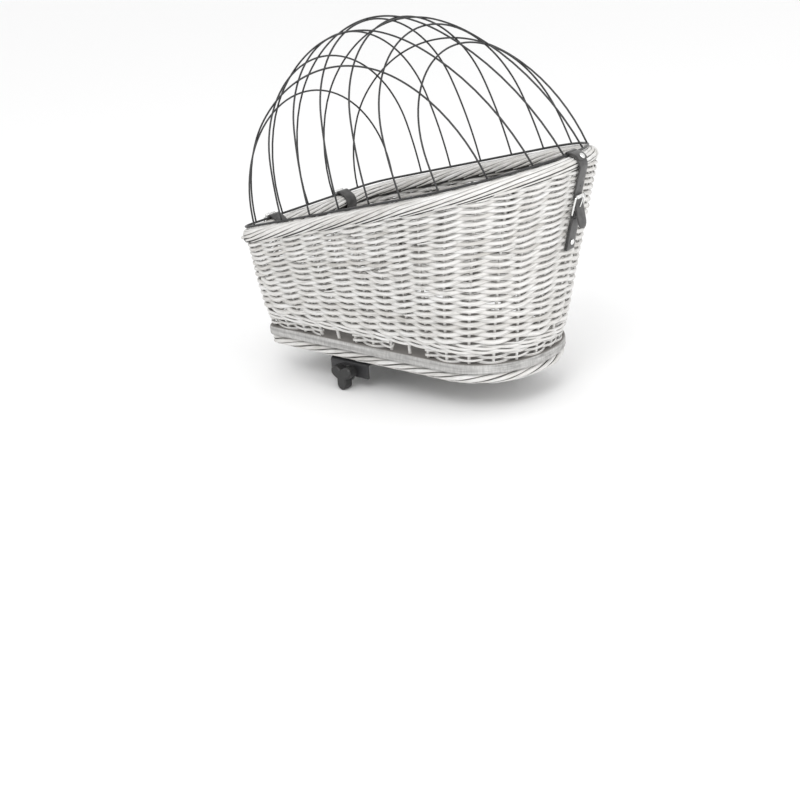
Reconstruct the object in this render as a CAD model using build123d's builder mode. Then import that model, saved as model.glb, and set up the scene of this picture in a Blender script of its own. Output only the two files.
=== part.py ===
"""A dog basket for a bicycle's rear rack: woven willow body, wire dome lid and rack bracket.

+X points to the high, round rear end, +Y to the bicycle's right, +Z up. The origin is the middle
of the bracket's underside, where the basket sits on the rack. Lengths are in millimetres.
"""
from build123d import *
from math import acos, asin, atan2, cos, degrees, hypot, radians, sin, sqrt, tan
import os

os.makedirs("parts", exist_ok=True)

# Rack bracket
bracket_sheet = 2.5
bracket_width = 210.0
bracket_length = 76.0
bracket_depth = 29.0
bracket_bend = 5.0
bracket_setback = 165.0
clamp_drop = 17.0
clamp_hole_clearance = 0.4

# Foot border, board and stakes
foot_roll = 20.0
foot_inset = 12.0
board_length = 467.0
board_width = 234.0
board_thickness = 15.0
board_corner = 20.0
board_shoulder = 105.0
board_rear = 155.0
board_edge_round = 3.0
stake_count = 35
stake_diameter = 5.0
stake_inset = 8.5
stake_clearance = 0.25

# Woven wall
wall = 11.0
lower_weave_height = 17.0
waling_height = 13.0
slot_stake = 7
second_slot_stake = 11
slot_edge_gap = 4.0

# Slanted rim, measured along the wire that lies on it
rim_slope = 14.0
rim_setback = 5.5
rim_front_height = 183.0
rim_length = 520.0
rim_front_width = 321.0
rim_flare = 1.2
rim_corner = 36.0
rim_shoulder = 158.0
rim_rear = 178.0
border_roll = 26.0

# Wire lid
base_wire = 3.6
dome_wire = 2.8
lid_clearance = 0.8
weld_sink = 0.8
first_arch = 41.5
arch_pitch = 62.6
arch_heights = [172.5, 217.5, 243.5, 251.5, 243.5, 222.0, 185.0]
arch_leans = [4.5, 1.0, -0.1, -1.4, -3.0, -6.6, -10.8]
haunch_radius = 550.0
long_wire_spacing = 59.0
long_wire_count = 5

# Leather straps and their roller buckles
strap_width = 22.0
strap_thickness = 2.5
strap_clearance = 0.5
strap_left = -77.0
strap_right = 82.0
buckle_wire = 3.0
buckle_side_gap = 0.8
buckle_corner = 3.5
roller_diameter = 6.0
roller_clearance = 0.1
prong_diameter = 2.2
prong_slot_gap = 0.4
prong_overshoot = 2.0
prong_eye_share = 0.8
hinge_buckle_gap = 8.3
hinge_roller_angle = 52.0
hinge_bar_angle = -33.0
hinge_tongue = 15.0
hinge_lift = 24.0
closure_side = 18.0
closure_roller_drop = 59.5
closure_roller_gap = 7.19
closure_bar_drop = 86.0
closure_bar_gap = 5.44
closure_tongue = 47.0
closure_tongue_turn = 24.8
closure_lift = 30.0
closure_lift_slack = 15.0
loop_clearance = 0.9
closure_border_clearance = 0.75
lower_strap_end = 139.0
lower_strap_run = 24.0
lower_strap_layers = 2
upper_strap_fold_end = 30.0
upper_rivet_angle = 45.0
lower_rivet_drop = 127.0
rivet_diameter = 4.0
rivet_head = 9.0
rivet_head_height = 2.0
rivet_clearance = 0.15
head_taper = 40.0

# Bolts, washers and knob
board_bolt = 6.0
board_bolt_spacing_x = 46.0
board_bolt_spacing_y = 90.0
board_bolt_head = 16.0
board_bolt_head_height = 3.5
spacer_diameter = 12.0
nut_width = 10.0
nut_height = 5.0
clamp_bolt = 8.0
clamp_head_width = 13.0
clamp_head_height = 5.5
washer_diameter = 24.0
washer_thickness = 1.6
knob_reach = 22.0
knob_lobe = 9.0
knob_hub = 20.0
knob_hub_length = 5.0
knob_thickness = 15.0
knob_edge = 2.0
knob_cap = 3.0
knob_lobes = 3
running_clearance = 0.06
bolt_clearance = 0.25
seat_gap = 0.3
overrun = 30.0

# Sides of the many-sided sections, and the square of the smallest turn between two directions
rod_sides = 6
wire_sides = 8
foot_sides = 10
border_sides = 12
least_turn = 1e-6

# Heights and planes that follow
board_under = bracket_sheet + foot_roll
board_top = board_under + board_thickness
board_front = -bracket_setback
waling_bottom = board_top + lower_weave_height
side_bottom = waling_bottom + waling_height
rim_front = board_front + rim_setback
rim_height = board_under + rim_front_height
rim_x = Vector(cos(radians(rim_slope)), 0, sin(radians(rim_slope)))
rim_up = Vector(-sin(radians(rim_slope)), 0, cos(radians(rim_slope)))
rim_origin = Vector(rim_front, 0, rim_height)
rim_plane = Plane(origin=rim_origin, x_dir=rim_x, z_dir=rim_up)
border_drop = border_roll / 2 + base_wire / 2 + lid_clearance


class Outline:
    """A D: straight front, flared sides, a shoulder arc and a wider rear arc. Points are in
    plan with x from the front edge. The inset moves the whole outline inward, or outward if
    it is negative."""

    def __init__(self, length, width, flare, corner, shoulder, rear, inset=0.0):
        slope = radians(flare)
        self.front = inset
        self.length = length - inset
        self.corner = corner - inset
        self.shoulder = shoulder - inset
        self.rear = rear - inset
        self.along = Vector(cos(slope), sin(slope))
        self.outward = Vector(-sin(slope), cos(slope))
        start = Vector(0, width / 2) - self.outward * inset
        self.side_foot = start + self.along * ((self.front - start.X) / self.along.X)
        corner_y = self.side_foot.Y + (tan(slope) - 1 / cos(slope)) * self.corner
        self.corner_centre = Vector(self.front + self.corner, corner_y)
        self.front_end = Vector(self.front, corner_y)
        self.side_start = self.corner_centre + self.outward * self.corner
        self.rear_centre = Vector(self.length - self.rear, 0)
        base = self.side_foot - self.outward * self.shoulder - self.rear_centre
        reach = self.rear - self.shoulder
        run = base.dot(self.along)
        self.side_run = -run + sqrt(run * run - base.dot(base) + reach * reach)
        self.side_end = self.side_foot + self.along * self.side_run
        self.shoulder_centre = self.side_end - self.outward * self.shoulder
        turn = (self.shoulder_centre - self.rear_centre).normalized()
        self.shoulder_end = self.shoulder_centre + turn * self.shoulder
        self.rear_half = degrees(atan2(turn.Y, turn.X))
        self.side_angle = degrees(atan2(self.outward.Y, self.outward.X))

    def draw(self):
        """Adds the closed outline to the line being built."""
        swing = self.side_angle - self.rear_half
        bend = 180 - self.side_angle
        CenterArc(self.corner_centre, self.corner, self.side_angle, bend)
        CenterArc(self.flip(self.corner_centre, -1), self.corner, 180, bend)
        for hand in (1, -1):
            Line(self.flip(self.side_start, hand), self.flip(self.side_end, hand))
        CenterArc(self.shoulder_centre, self.shoulder, self.rear_half, swing)
        CenterArc(self.flip(self.shoulder_centre, -1), self.shoulder, -self.side_angle, swing)
        Line(self.front_end, self.flip(self.front_end, -1))
        CenterArc(self.rear_centre, self.rear, -self.rear_half, 2 * self.rear_half)

    @staticmethod
    def flip(point, hand):
        return Vector(point.X, point.Y * hand)

    def pieces(self):
        """The half outline from the middle of the front to the rear, as (length, place of share)."""
        bend = 180 - self.side_angle
        swing = self.side_angle - self.rear_half

        def on_arc(centre, radius, start, sweep):
            def place(share):
                angle = radians(start + sweep * share)
                return centre + Vector(cos(angle), sin(angle)) * radius
            return place

        def on_line(a, b):
            return lambda share: a + (b - a) * share

        return [
            (self.front_end.Y, on_line(Vector(self.front, 0), self.front_end)),
            (self.corner * radians(bend), on_arc(self.corner_centre, self.corner, 180, -bend)),
            ((self.side_end - self.side_start).length, on_line(self.side_start, self.side_end)),
            (self.shoulder * radians(swing),
             on_arc(self.shoulder_centre, self.shoulder, self.side_angle, -swing)),
            (self.rear * radians(self.rear_half),
             on_arc(self.rear_centre, self.rear, self.rear_half, -self.rear_half)),
        ]

    def half_length(self):
        return sum(length for length, _ in self.pieces())

    def station(self, run):
        """Which piece a run along the half outline ends on, and the share of it."""
        rows = self.pieces()
        for index, (length, _) in enumerate(rows):
            if run <= length or index == len(rows) - 1:
                return index, run / length
            run -= length

    def place(self, index, share):
        return self.pieces()[index][1](share)

    def half_width(self, x):
        """Half the width at x on the side, the shoulder or the rear arc."""
        if x <= self.side_end.X:
            return self.side_foot.Y + (x - self.side_foot.X) * self.along.Y / self.along.X
        if x <= self.shoulder_end.X:
            dx = x - self.shoulder_centre.X
            return self.shoulder_centre.Y + sqrt(self.shoulder ** 2 - dx * dx)
        return sqrt(self.rear ** 2 - (x - self.rear_centre.X) ** 2)

    def rear_x(self, y):
        """Where the round end stands at a distance y from the middle."""
        if abs(y) <= self.shoulder_end.Y:
            return self.rear_centre.X + sqrt(self.rear ** 2 - y * y)
        dy = abs(y) - self.shoulder_centre.Y
        return self.shoulder_centre.X + sqrt(self.shoulder ** 2 - dy * dy)


def board_outline(inset=0.0):
    return Outline(board_length, board_width, 0.0, board_corner, board_shoulder, board_rear, inset)


def rim_outline(inset=0.0):
    return Outline(rim_length, rim_front_width, rim_flare, rim_corner, rim_shoulder, rim_rear, inset)


def board_plane(height):
    return Plane.XY.offset(height).move(Location((board_front, 0, 0)))


def rim_level(drop):
    return Plane(origin=rim_origin - rim_up * drop, x_dir=rim_x, z_dir=rim_up)


rim = rim_outline()
wall_top_drop = border_drop + border_roll / 2
wall_inset = stake_inset - wall / 2


def finish(piece, name):
    piece.part.label = name
    export_step(piece.part, f"parts/{name}.step")


# Stake lines, from the board's stake holes to the rim
def stake_line(index):
    """The foot and head of a stake. Stakes count from the middle of the front, and those on the
    bicycle's left are negative."""
    foot_outline = board_outline(stake_inset)
    pitch = 2 * foot_outline.half_length() / stake_count
    piece, share = foot_outline.station(abs(index) * pitch)
    hand = 1 if index >= 0 else -1
    foot = Outline.flip(foot_outline.place(piece, share), hand)
    head = Outline.flip(rim.place(piece, share), hand)
    low = Vector(board_front + foot.X, foot.Y, board_top)
    high = rim_level(wall_top_drop).from_local_coords(Vector(head.X, head.Y, 0))
    return low, high


stake_numbers = range(-(stake_count // 2), stake_count // 2 + 1)


def laid_wire(plane, draw):
    """A wire drawn flat and then laid on a plane, to sweep along."""
    with BuildLine() as flat:
        draw()
    return plane.location * Wire(flat.line.edges())


# Foot border: the stakes' lower ends, woven into a thick roll under the board
foot_path = laid_wire(board_plane(board_under - foot_roll / 2), board_outline(foot_inset).draw)
with BuildPart() as foot_border:
    with BuildSketch(Plane(origin=foot_path @ 0, x_dir=(0, 0, 1), z_dir=foot_path % 0)):
        RegularPolygon(foot_roll / 2, foot_sides, major_radius=False, rotation=180 / foot_sides)
    sweep(path=foot_path)
finish(foot_border, "foot_border")


# Base board, with a hole for every stake and for the bracket's four bolts
stake_feet = [stake_line(index)[0] for index in stake_numbers]
bolt_places = [(x * board_bolt_spacing_x / 2, y * board_bolt_spacing_y / 2)
               for x in (-1, 1) for y in (-1, 1)]
with BuildPart() as base_board:
    with BuildSketch(board_plane(board_under)):
        with BuildLine():
            board_outline().draw()
        make_face()
    extrude(amount=board_thickness)
    fillet(base_board.faces().sort_by(Axis.Z)[-1].edges(), board_edge_round)
    fillet(base_board.faces().sort_by(Axis.Z)[0].edges(), board_edge_round)
    with BuildSketch(Plane.XY.offset(board_under)):
        for foot in stake_feet:
            with Locations((foot.X, foot.Y)):
                RegularPolygon(stake_diameter / 2 + stake_clearance, rod_sides)
        with Locations(*bolt_places):
            Circle(board_bolt / 2 + bolt_clearance)
    extrude(amount=board_thickness, mode=Mode.SUBTRACT)
finish(base_board, "base_board")

# Stakes: through the board and the lower weave, up to the waling that hides them
with BuildPart() as stakes:
    with BuildSketch(Plane.XY.offset(board_under)):
        for foot in stake_feet:
            with Locations((foot.X, foot.Y)):
                RegularPolygon(stake_diameter / 2, rod_sides)
    extrude(amount=board_thickness + lower_weave_height)
finish(stakes, "stakes")

# The woven wall as one shell, from which each band of weave is cut
with BuildPart() as wall_shell:
    for inset_low, inset_high, mode in (
        (wall_inset, -wall / 2, Mode.ADD),
        (wall_inset + wall, wall / 2, Mode.SUBTRACT),
    ):
        with BuildSketch(board_plane(board_top)) as low_outline:
            with BuildLine():
                board_outline(inset_low).draw()
            make_face()
        with BuildSketch(rim_level(wall_top_drop)) as high_outline:
            with BuildLine():
                rim_outline(inset_high).draw()
            make_face()
        loft(sections=[low_outline.sketch, high_outline.sketch], ruled=True, mode=mode)


def slot_ends(middle):
    """Where a slot starts and stops along the side: just inside the stakes beside its middle one."""
    low = stake_line(middle - 1)[0].X + stake_diameter / 2 + slot_edge_gap
    high = stake_line(middle + 1)[0].X - stake_diameter / 2 - slot_edge_gap
    return low, high


first_slot = slot_ends(slot_stake)
second_slot = slot_ends(second_slot_stake)

# Lower weave: thin paired rods in four lengths, parted by the two strap slots on each side
lower_lengths = {
    "lower_weave_front": (board_front - overrun, first_slot[0], Keep.BOTH),
    "lower_weave_left": (first_slot[1], second_slot[0], Keep.TOP),
    "lower_weave_right": (first_slot[1], second_slot[0], Keep.BOTTOM),
    "lower_weave_rear": (second_slot[1], board_front + board_length + overrun, Keep.BOTH),
}
for name, (low_x, high_x, side) in lower_lengths.items():
    with BuildPart() as lower_weave:
        add(wall_shell.part)
        split(bisect_by=Plane.XY.offset(waling_bottom), keep=Keep.BOTTOM)
        split(bisect_by=Plane.YZ.offset(low_x), keep=Keep.TOP)
        split(bisect_by=Plane.YZ.offset(high_x), keep=Keep.BOTTOM)
        if side != Keep.BOTH:
            split(bisect_by=Plane.XZ, keep=side)
        with BuildSketch(Plane.XY.offset(board_top)):
            for foot in stake_feet:
                with Locations((foot.X, foot.Y)):
                    RegularPolygon(stake_diameter / 2 + stake_clearance, rod_sides)
        extrude(amount=lower_weave_height, mode=Mode.SUBTRACT)
    finish(lower_weave, name)

# Waling: the rows with long strokes that close the slots from above
with BuildPart() as waling:
    add(wall_shell.part)
    split(bisect_by=Plane.XY.offset(waling_bottom), keep=Keep.TOP)
    split(bisect_by=Plane.XY.offset(side_bottom), keep=Keep.BOTTOM)
finish(waling, "waling")


def polar(centre, radius, angle):
    return (centre[0] + radius * cos(radians(angle)), centre[1] + radius * sin(radians(angle)))


# Side of the border's roll in an upright plane that looks along the rim's slope
border_side = border_drop * sin(radians(rim_slope))
border_below = border_drop * cos(radians(rim_slope))
half_strap = strap_thickness / 2
roll_reach = border_roll / 2 + strap_clearance + half_strap
wire_reach = base_wire / 2 + strap_clearance + half_strap
hinge_planes = {
    "left": Plane(origin=(rim_front, strap_left, rim_height), x_dir=(-1, 0, 0), z_dir=(0, 1, 0)),
    "right": Plane(origin=(rim_front, strap_right, rim_height), x_dir=(-1, 0, 0), z_dir=(0, 1, 0)),
}
closure_turn = asin(closure_side / rim_rear)
closure_wire = rim_plane.from_local_coords(Vector(rim.rear_x(closure_side), closure_side, 0))
closure_plane = Plane(
    origin=closure_wire,
    x_dir=(cos(closure_turn), sin(closure_turn), 0),
    z_dir=(sin(closure_turn), -cos(closure_turn), 0),
)

# Outer face of the wall in the closure's plane, found from the board's and the rim's outlines
wall_low_x = board_front + board_outline(wall_inset).rear_x(closure_side)
wall_high = rim_level(wall_top_drop).from_local_coords(
    Vector(rim_outline(-wall / 2).rear_x(closure_side), closure_side, 0))
wall_slope = (wall_high.X - wall_low_x) / (wall_high.Z - board_top) * cos(closure_turn)


def wall_face(height):
    """How far the wall's outer face stands from the wire at a height, in the closure's plane."""
    top = closure_plane.to_local_coords(wall_high)
    return top.X + (height - top.Y) * wall_slope


wall_tilt = degrees(atan2(wall_slope, 1))
lower_rivet_plane = Plane(
    origin=closure_plane.from_local_coords(
        Vector(wall_face(-lower_rivet_drop), -lower_rivet_drop, 0)),
    z_dir=closure_plane.x_dir * cos(radians(wall_tilt)) - Vector(0, 0, 1) * sin(radians(wall_tilt)),
)

# Side weave: the main wall up to the border, with a strap slot at each hinge and a rivet hole
with BuildPart() as side_weave:
    add(wall_shell.part)
    split(bisect_by=Plane.XY.offset(side_bottom), keep=Keep.TOP)
    for plane in hinge_planes.values():
        with BuildSketch(plane):
            with Locations((-border_side, -border_below)):
                Circle(roll_reach + half_strap + strap_clearance)
        extrude(amount=strap_width / 2 + strap_clearance, both=True, mode=Mode.SUBTRACT)
    with BuildSketch(lower_rivet_plane):
        Circle(rivet_diameter / 2 + rivet_clearance)
    extrude(amount=overrun, both=True, mode=Mode.SUBTRACT)
finish(side_weave, "side_weave")

# Top border: the stakes' ends laid down in diagonal bundles, dented under the closure's loop
loop_bore = base_wire / 2 + loop_clearance
loop_outer = loop_bore + strap_thickness
border_path = laid_wire(rim_level(border_drop), rim_outline().draw)
with BuildPart() as top_border:
    with BuildSketch(Plane(origin=border_path @ 0, x_dir=rim_up, z_dir=border_path % 0)):
        RegularPolygon(border_roll / 2, border_sides, major_radius=False,
                       rotation=180 / border_sides)
    sweep(path=border_path)
    with BuildSketch(closure_plane):
        Circle(loop_outer + strap_clearance)
    extrude(amount=strap_width / 2 + strap_clearance, both=True, mode=Mode.SUBTRACT)
finish(top_border, "top_border")

# Rack bracket: a steel strip bent down at both ends, bolted under the board
with BuildPart() as bracket:
    with BuildSketch(Plane.YZ):
        with Locations((0, bracket_sheet - bracket_depth / 2)):
            RectangleRounded(bracket_width, bracket_depth, bracket_bend)
        with Locations((0, -bracket_depth / 2)):
            RectangleRounded(bracket_width - 2 * bracket_sheet, bracket_depth,
                             bracket_bend - bracket_sheet, mode=Mode.SUBTRACT)
        with Locations((0, bracket_sheet - bracket_depth)):
            Rectangle(bracket_width, 2 * bracket_bend, mode=Mode.SUBTRACT)
    extrude(amount=bracket_length / 2, both=True)
    with BuildSketch(Plane.XY):
        with Locations(*bolt_places):
            Circle(board_bolt / 2 + bolt_clearance)
    extrude(amount=bracket_sheet, mode=Mode.SUBTRACT)
    with BuildSketch(Plane.XZ):
        with Locations((0, -clamp_drop)):
            Circle(clamp_bolt / 2 + clamp_hole_clearance)
    extrude(amount=bracket_width, both=True, mode=Mode.SUBTRACT)
finish(bracket, "bracket")

# Nuts welded on the bracket, spacers above them, and bolts from the board down into the nuts
with BuildPart() as spacers:
    with BuildSketch(Plane.XY.offset(bracket_sheet + nut_height)):
        for place in bolt_places:
            with Locations(place):
                Circle(spacer_diameter / 2)
                Circle(board_bolt / 2 + bolt_clearance, mode=Mode.SUBTRACT)
    extrude(amount=foot_roll - nut_height)
finish(spacers, "spacers")

with BuildPart() as board_bolts:
    with BuildSketch(Plane.XY.offset(seat_gap)):
        with Locations(*bolt_places):
            Circle(board_bolt / 2)
    extrude(amount=board_top - seat_gap)
    with BuildSketch(Plane.XY.offset(board_top)):
        with Locations(*bolt_places):
            Circle(board_bolt_head / 2)
    extrude(amount=board_bolt_head_height, taper=head_taper)
finish(board_bolts, "board_bolts")

with BuildPart() as board_nuts:
    with BuildSketch(Plane.XY.offset(bracket_sheet)):
        for place in bolt_places:
            with Locations(place):
                RegularPolygon(nut_width / 2, rod_sides, major_radius=False)
                Circle(board_bolt / 2, mode=Mode.SUBTRACT)
    extrude(amount=nut_height)
finish(board_nuts, "board_nuts")

# Clamp bolt across both ends of the bracket, its washers and its three-lobed knob
left_face = -bracket_width / 2
washer_face = left_face - washer_thickness
knob_face = washer_face - running_clearance
knob_hub_end = knob_face - knob_hub_length
knob_end = knob_hub_end - knob_thickness
bolt_end = knob_end + knob_cap + seat_gap
right_face = bracket_width / 2 + washer_thickness


def across_plane(y):
    """An upright plane along X at y, facing the bicycle's left, centred on the clamp bolt."""
    return Plane(origin=(0, y, -clamp_drop), x_dir=(1, 0, 0), z_dir=(0, -1, 0))


with BuildPart() as clamp_bolt_piece:
    with BuildSketch(across_plane(right_face)):
        Circle(clamp_bolt / 2)
    extrude(amount=right_face - bolt_end)
    with BuildSketch(across_plane(right_face)):
        RegularPolygon(clamp_head_width / 2, rod_sides, major_radius=False)
    extrude(amount=-clamp_head_height)
finish(clamp_bolt_piece, "clamp_bolt")

with BuildPart() as clamp_washers:
    for face in (left_face, right_face):
        with BuildSketch(across_plane(face)):
            Circle(washer_diameter / 2)
            Circle(clamp_bolt / 2 + bolt_clearance, mode=Mode.SUBTRACT)
        extrude(amount=washer_thickness)
finish(clamp_washers, "clamp_washers")

with BuildPart() as clamp_knob:
    with BuildSketch(across_plane(knob_face)):
        Circle(knob_hub / 2)
    extrude(amount=knob_hub_length)
    with BuildSketch(across_plane(knob_hub_end)):
        Circle(knob_hub / 2)
        with PolarLocations(0, knob_lobes, start_angle=-90):
            with Locations(((knob_reach - knob_lobe) / 2, 0)):
                Rectangle(knob_reach - knob_lobe, 2 * knob_lobe)
            with Locations((knob_reach - knob_lobe, 0)):
                Circle(knob_lobe)
    extrude(amount=knob_thickness)
    chamfer(clamp_knob.faces().sort_by(Axis.Y)[0].outer_wire().edges(), knob_edge)
    with BuildSketch(across_plane(knob_face)):
        Circle(clamp_bolt / 2 + running_clearance)
    extrude(amount=knob_face - bolt_end + seat_gap, mode=Mode.SUBTRACT)
finish(clamp_knob, "clamp_knob")

# Lid base wire, lying on the border
base_path = laid_wire(rim_plane, rim_outline().draw)
with BuildPart() as lid_base_wire:
    with BuildSketch(Plane(origin=base_path @ 0, x_dir=rim_up, z_dir=base_path % 0)):
        RegularPolygon(base_wire / 2, wire_sides, major_radius=False, rotation=180 / wire_sides)
    sweep(path=base_path)
finish(lid_base_wire, "lid_base_wire")


class Arch:
    """A cross arch: two haunches and a crown that meet smoothly, in a plane leaning from the rim."""

    def __init__(self, number):
        self.x = first_arch + arch_pitch * number
        self.lean = radians(arch_leans[number])
        self.half = rim.half_width(self.x)
        self.height = arch_heights[number] / cos(self.lean)
        away = self.half - haunch_radius
        self.away = away
        self.crown = ((away ** 2 + self.height ** 2 - haunch_radius ** 2)
                      / (2 * (self.height - haunch_radius)))
        self.middle = self.height - self.crown
        self.plane = Plane(
            origin=rim_plane.from_local_coords(Vector(self.x, 0, 0)),
            x_dir=(0, 1, 0),
            z_dir=rim_x * cos(self.lean) - rim_up * sin(self.lean),
        )

    def draw(self):
        join = degrees(atan2(self.middle, -self.away))
        CenterArc((self.away, 0), haunch_radius, 0, join)
        CenterArc((0, self.middle), self.crown, join, 180 - 2 * join)
        CenterArc((-self.away, 0), haunch_radius, 180 - join, join)

    def rise(self, y):
        """Height above the rim and slope of the arch at a distance y from the middle."""
        join = atan2(self.middle, -self.away)
        side = abs(y)
        if side <= self.crown * cos(join):
            up = self.middle + sqrt(self.crown ** 2 - side ** 2)
            slope = side / (up - self.middle)
        else:
            up = sqrt(haunch_radius ** 2 - (side - self.away) ** 2)
            slope = (side - self.away) / up
        return self.x + up * sin(self.lean), up * cos(self.lean), slope


arches = [Arch(number) for number in range(len(arch_heights))]
for number, arch in enumerate(arches):
    arch_path = laid_wire(arch.plane, arch.draw)
    with BuildPart() as cross_arch:
        with BuildSketch(Plane(origin=arch_path @ 0, z_dir=arch_path % 0)):
            RegularPolygon(dome_wire / 2, rod_sides)
        sweep(path=arch_path)
    finish(cross_arch, f"cross_arch_{number + 1}")


# Lengthwise wires: laid over the arches from the front of the base wire to its round end
def wire_points(y):
    """The points a lengthwise wire passes, in its own upright plane: x along the rim, y above it."""
    crossings = [arch.rise(y) for arch in arches]
    points = [(0.0, 0.0)] + [(x, up) for x, up, _ in crossings] + [(rim.rear_x(y), 0.0)]
    turns = point_turns(points)
    for index, (x, up, slope) in enumerate(crossings, start=1):
        lift = (dome_wire - weld_sink) * sqrt(1 + slope ** 2 + tan(turns[index]) ** 2)
        points[index] = (x, up + lift)
    return points


def point_turns(points):
    """Directions at the points: across each point's two neighbours, and by the circle at the ends."""
    chords = [Vector(bx - ax, by - ay) for (ax, ay), (bx, by) in zip(points, points[1:])]
    angles = [atan2(chord.Y, chord.X) for chord in chords]
    turns = []
    for index in range(1, len(chords)):
        before, after = chords[index - 1].length, chords[index].length
        turns.append((angles[index - 1] * after + angles[index] * before) / (before + after))
    return [2 * angles[0] - turns[0]] + turns + [2 * angles[-1] - turns[-1]]


def curve_through(points):
    """Adds two arcs between each pair of neighbouring points, smooth at every join."""
    turns = point_turns(points)
    for start, end, turn, next_turn in zip(points, points[1:], turns, turns[1:]):
        a, b = Vector(*start), Vector(*end)
        u, w = Vector(cos(turn), sin(turn)), Vector(cos(next_turn), sin(next_turn))
        chord = b - a
        pull = chord.dot(u + w)
        spare = 2 * (1 - u.dot(w))
        if spare < least_turn:
            reach = chord.dot(chord) / (2 * pull)
        else:
            reach = (-pull + sqrt(pull ** 2 + spare * chord.dot(chord))) / spare
        middle = (a + u * reach + b - w * reach) / 2
        TangentArc(a, middle, tangent=u)
        TangentArc(middle, b, tangent=(b - w * reach - middle).normalized())


for number in range(long_wire_count):
    wire_y = (number - (long_wire_count - 1) / 2) * long_wire_spacing
    side_plane = Plane(
        origin=rim_plane.from_local_coords(Vector(0, wire_y, 0)), x_dir=rim_x, z_dir=(0, -1, 0))
    points = wire_points(wire_y)
    wire_path = laid_wire(side_plane, lambda: curve_through(points))
    with BuildPart() as long_wire:
        with BuildSketch(Plane(origin=wire_path @ 0, z_dir=wire_path % 0)):
            RegularPolygon(dome_wire / 2, rod_sides)
        sweep(path=wire_path)
    finish(long_wire, f"long_wire_{number + 1}")


def strap_route(stations):
    """Adds the runs and arcs of a strap laid round circles. A station is (x, y, reach): the reach
    is from the circle's middle to the strap's middle line, positive where the circle lies to the
    strap's left and negative to its right, and zero for a plain end."""
    turns = []
    for (ax, ay, ar), (bx, by, br) in zip(stations, stations[1:]):
        distance = hypot(bx - ax, by - ay)
        turns.append(atan2(by - ay, bx - ax) + acos((br - ar) / distance))
    points = []
    for index, turn in enumerate(turns):
        for x, y, reach in stations[index:index + 2]:
            points.append((x - cos(turn) * reach, y - sin(turn) * reach))
    for index in range(len(turns)):
        Line(points[2 * index], points[2 * index + 1])
        if index + 1 < len(turns):
            x, y, reach = stations[index + 1]
            start = points[2 * index + 1]
            swing = degrees(turns[index + 1] - turns[index])
            swing = swing % 360 if reach > 0 else -(-swing % 360)
            CenterArc((x, y), abs(reach), degrees(atan2(start[1] - y, start[0] - x)), swing)


roller_radius = roller_diameter / 2
bar_radius = buckle_wire / 2
fold_bore = bar_radius + strap_clearance
fold_outer = fold_bore + strap_thickness
past_roller = roller_radius + strap_clearance + half_strap
past_fold = fold_outer + strap_clearance + half_strap
eye_bore = bar_radius + running_clearance
eye_outer = bar_radius + prong_diameter * prong_eye_share


class Buckle:
    """A roller buckle's places in a strap's side plane: x outward from the wire and y up."""

    def __init__(self, plane, bar, roller, lift):
        self.plane = plane
        self.bar = bar
        self.roller = roller
        self.lift = lift
        self.length = hypot(roller[0] - bar[0], roller[1] - bar[1])
        self.lean = degrees(atan2(roller[1] - bar[1], roller[0] - bar[0]))
        reach = roller_radius + seat_gap + prong_diameter / 2
        self.tip = polar(roller, reach, self.lean - 90)
        self.prong_lean = degrees(atan2(self.tip[1] - bar[1], self.tip[0] - bar[0]))
        self.prong_length = hypot(self.tip[0] - bar[0], self.tip[1] - bar[1]) + prong_overshoot

    def at(self, place):
        return self.plane.from_local_coords(Vector(place[0], place[1], 0))

    def frame_plane(self):
        """Origin on the bar, x along the bar and y toward the roller."""
        toward = (self.at(self.roller) - self.at(self.bar)).normalized()
        bar_line = self.plane.z_dir
        return Plane(origin=self.at(self.bar), x_dir=bar_line, z_dir=bar_line.cross(toward))

    def cut_slot(self):
        """Cuts the slot that lets the prong pass the strap and lift out of it."""
        half = prong_diameter / 2 + prong_slot_gap
        reach = self.prong_length + prong_slot_gap
        near, far = self.prong_lean, self.prong_lean - self.lift
        with BuildSketch(self.plane) as slot:
            with BuildLine():
                Polyline(
                    polar(self.bar, half, near + 90),
                    polar(polar(self.bar, reach, near), half, near + 90),
                    polar(polar(self.bar, reach, near), half, near - 90),
                    polar(polar(self.bar, reach, far), half, far - 90),
                    polar(self.bar, half, far - 90),
                    close=True,
                )
            make_face()
            with Locations(self.bar):
                Circle(eye_outer + prong_slot_gap)
        extrude(slot.sketch, amount=half, both=True, mode=Mode.SUBTRACT)

    def make(self, frame_name, roller_name, prong_name):
        """The frame, the roller on its outer bar and the prong on its inner bar."""
        across_bar = strap_width + 2 * buckle_side_gap + buckle_wire
        plane = self.frame_plane()
        ring = laid_wire(plane, lambda: rounded_ring(across_bar, self.length))
        with BuildPart() as frame:
            with BuildSketch(Plane(origin=ring @ 0, z_dir=ring % 0)):
                RegularPolygon(bar_radius, wire_sides)
            sweep(path=ring)
        finish(frame, frame_name)
        roller_half = across_bar / 2 - buckle_corner - seat_gap
        with BuildPart() as roller:
            with BuildSketch(self.plane):
                with Locations(self.roller):
                    Circle(roller_radius)
                    Circle(bar_radius + roller_clearance, mode=Mode.SUBTRACT)
            extrude(amount=roller_half, both=True)
        finish(roller, roller_name)
        with BuildPart() as prong:
            with BuildSketch(Plane(origin=self.at(self.bar), z_dir=self.at(self.tip) - self.at(self.bar))):
                RegularPolygon(prong_diameter / 2, wire_sides)
            extrude(amount=self.prong_length)
            with BuildSketch(self.plane):
                with Locations(self.bar):
                    Circle(eye_outer)
            extrude(amount=prong_diameter / 2, both=True)
            with BuildSketch(self.plane):
                with Locations(self.bar):
                    Circle(eye_bore)
            extrude(amount=strap_width, both=True, mode=Mode.SUBTRACT)
        finish(prong, prong_name)


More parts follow.
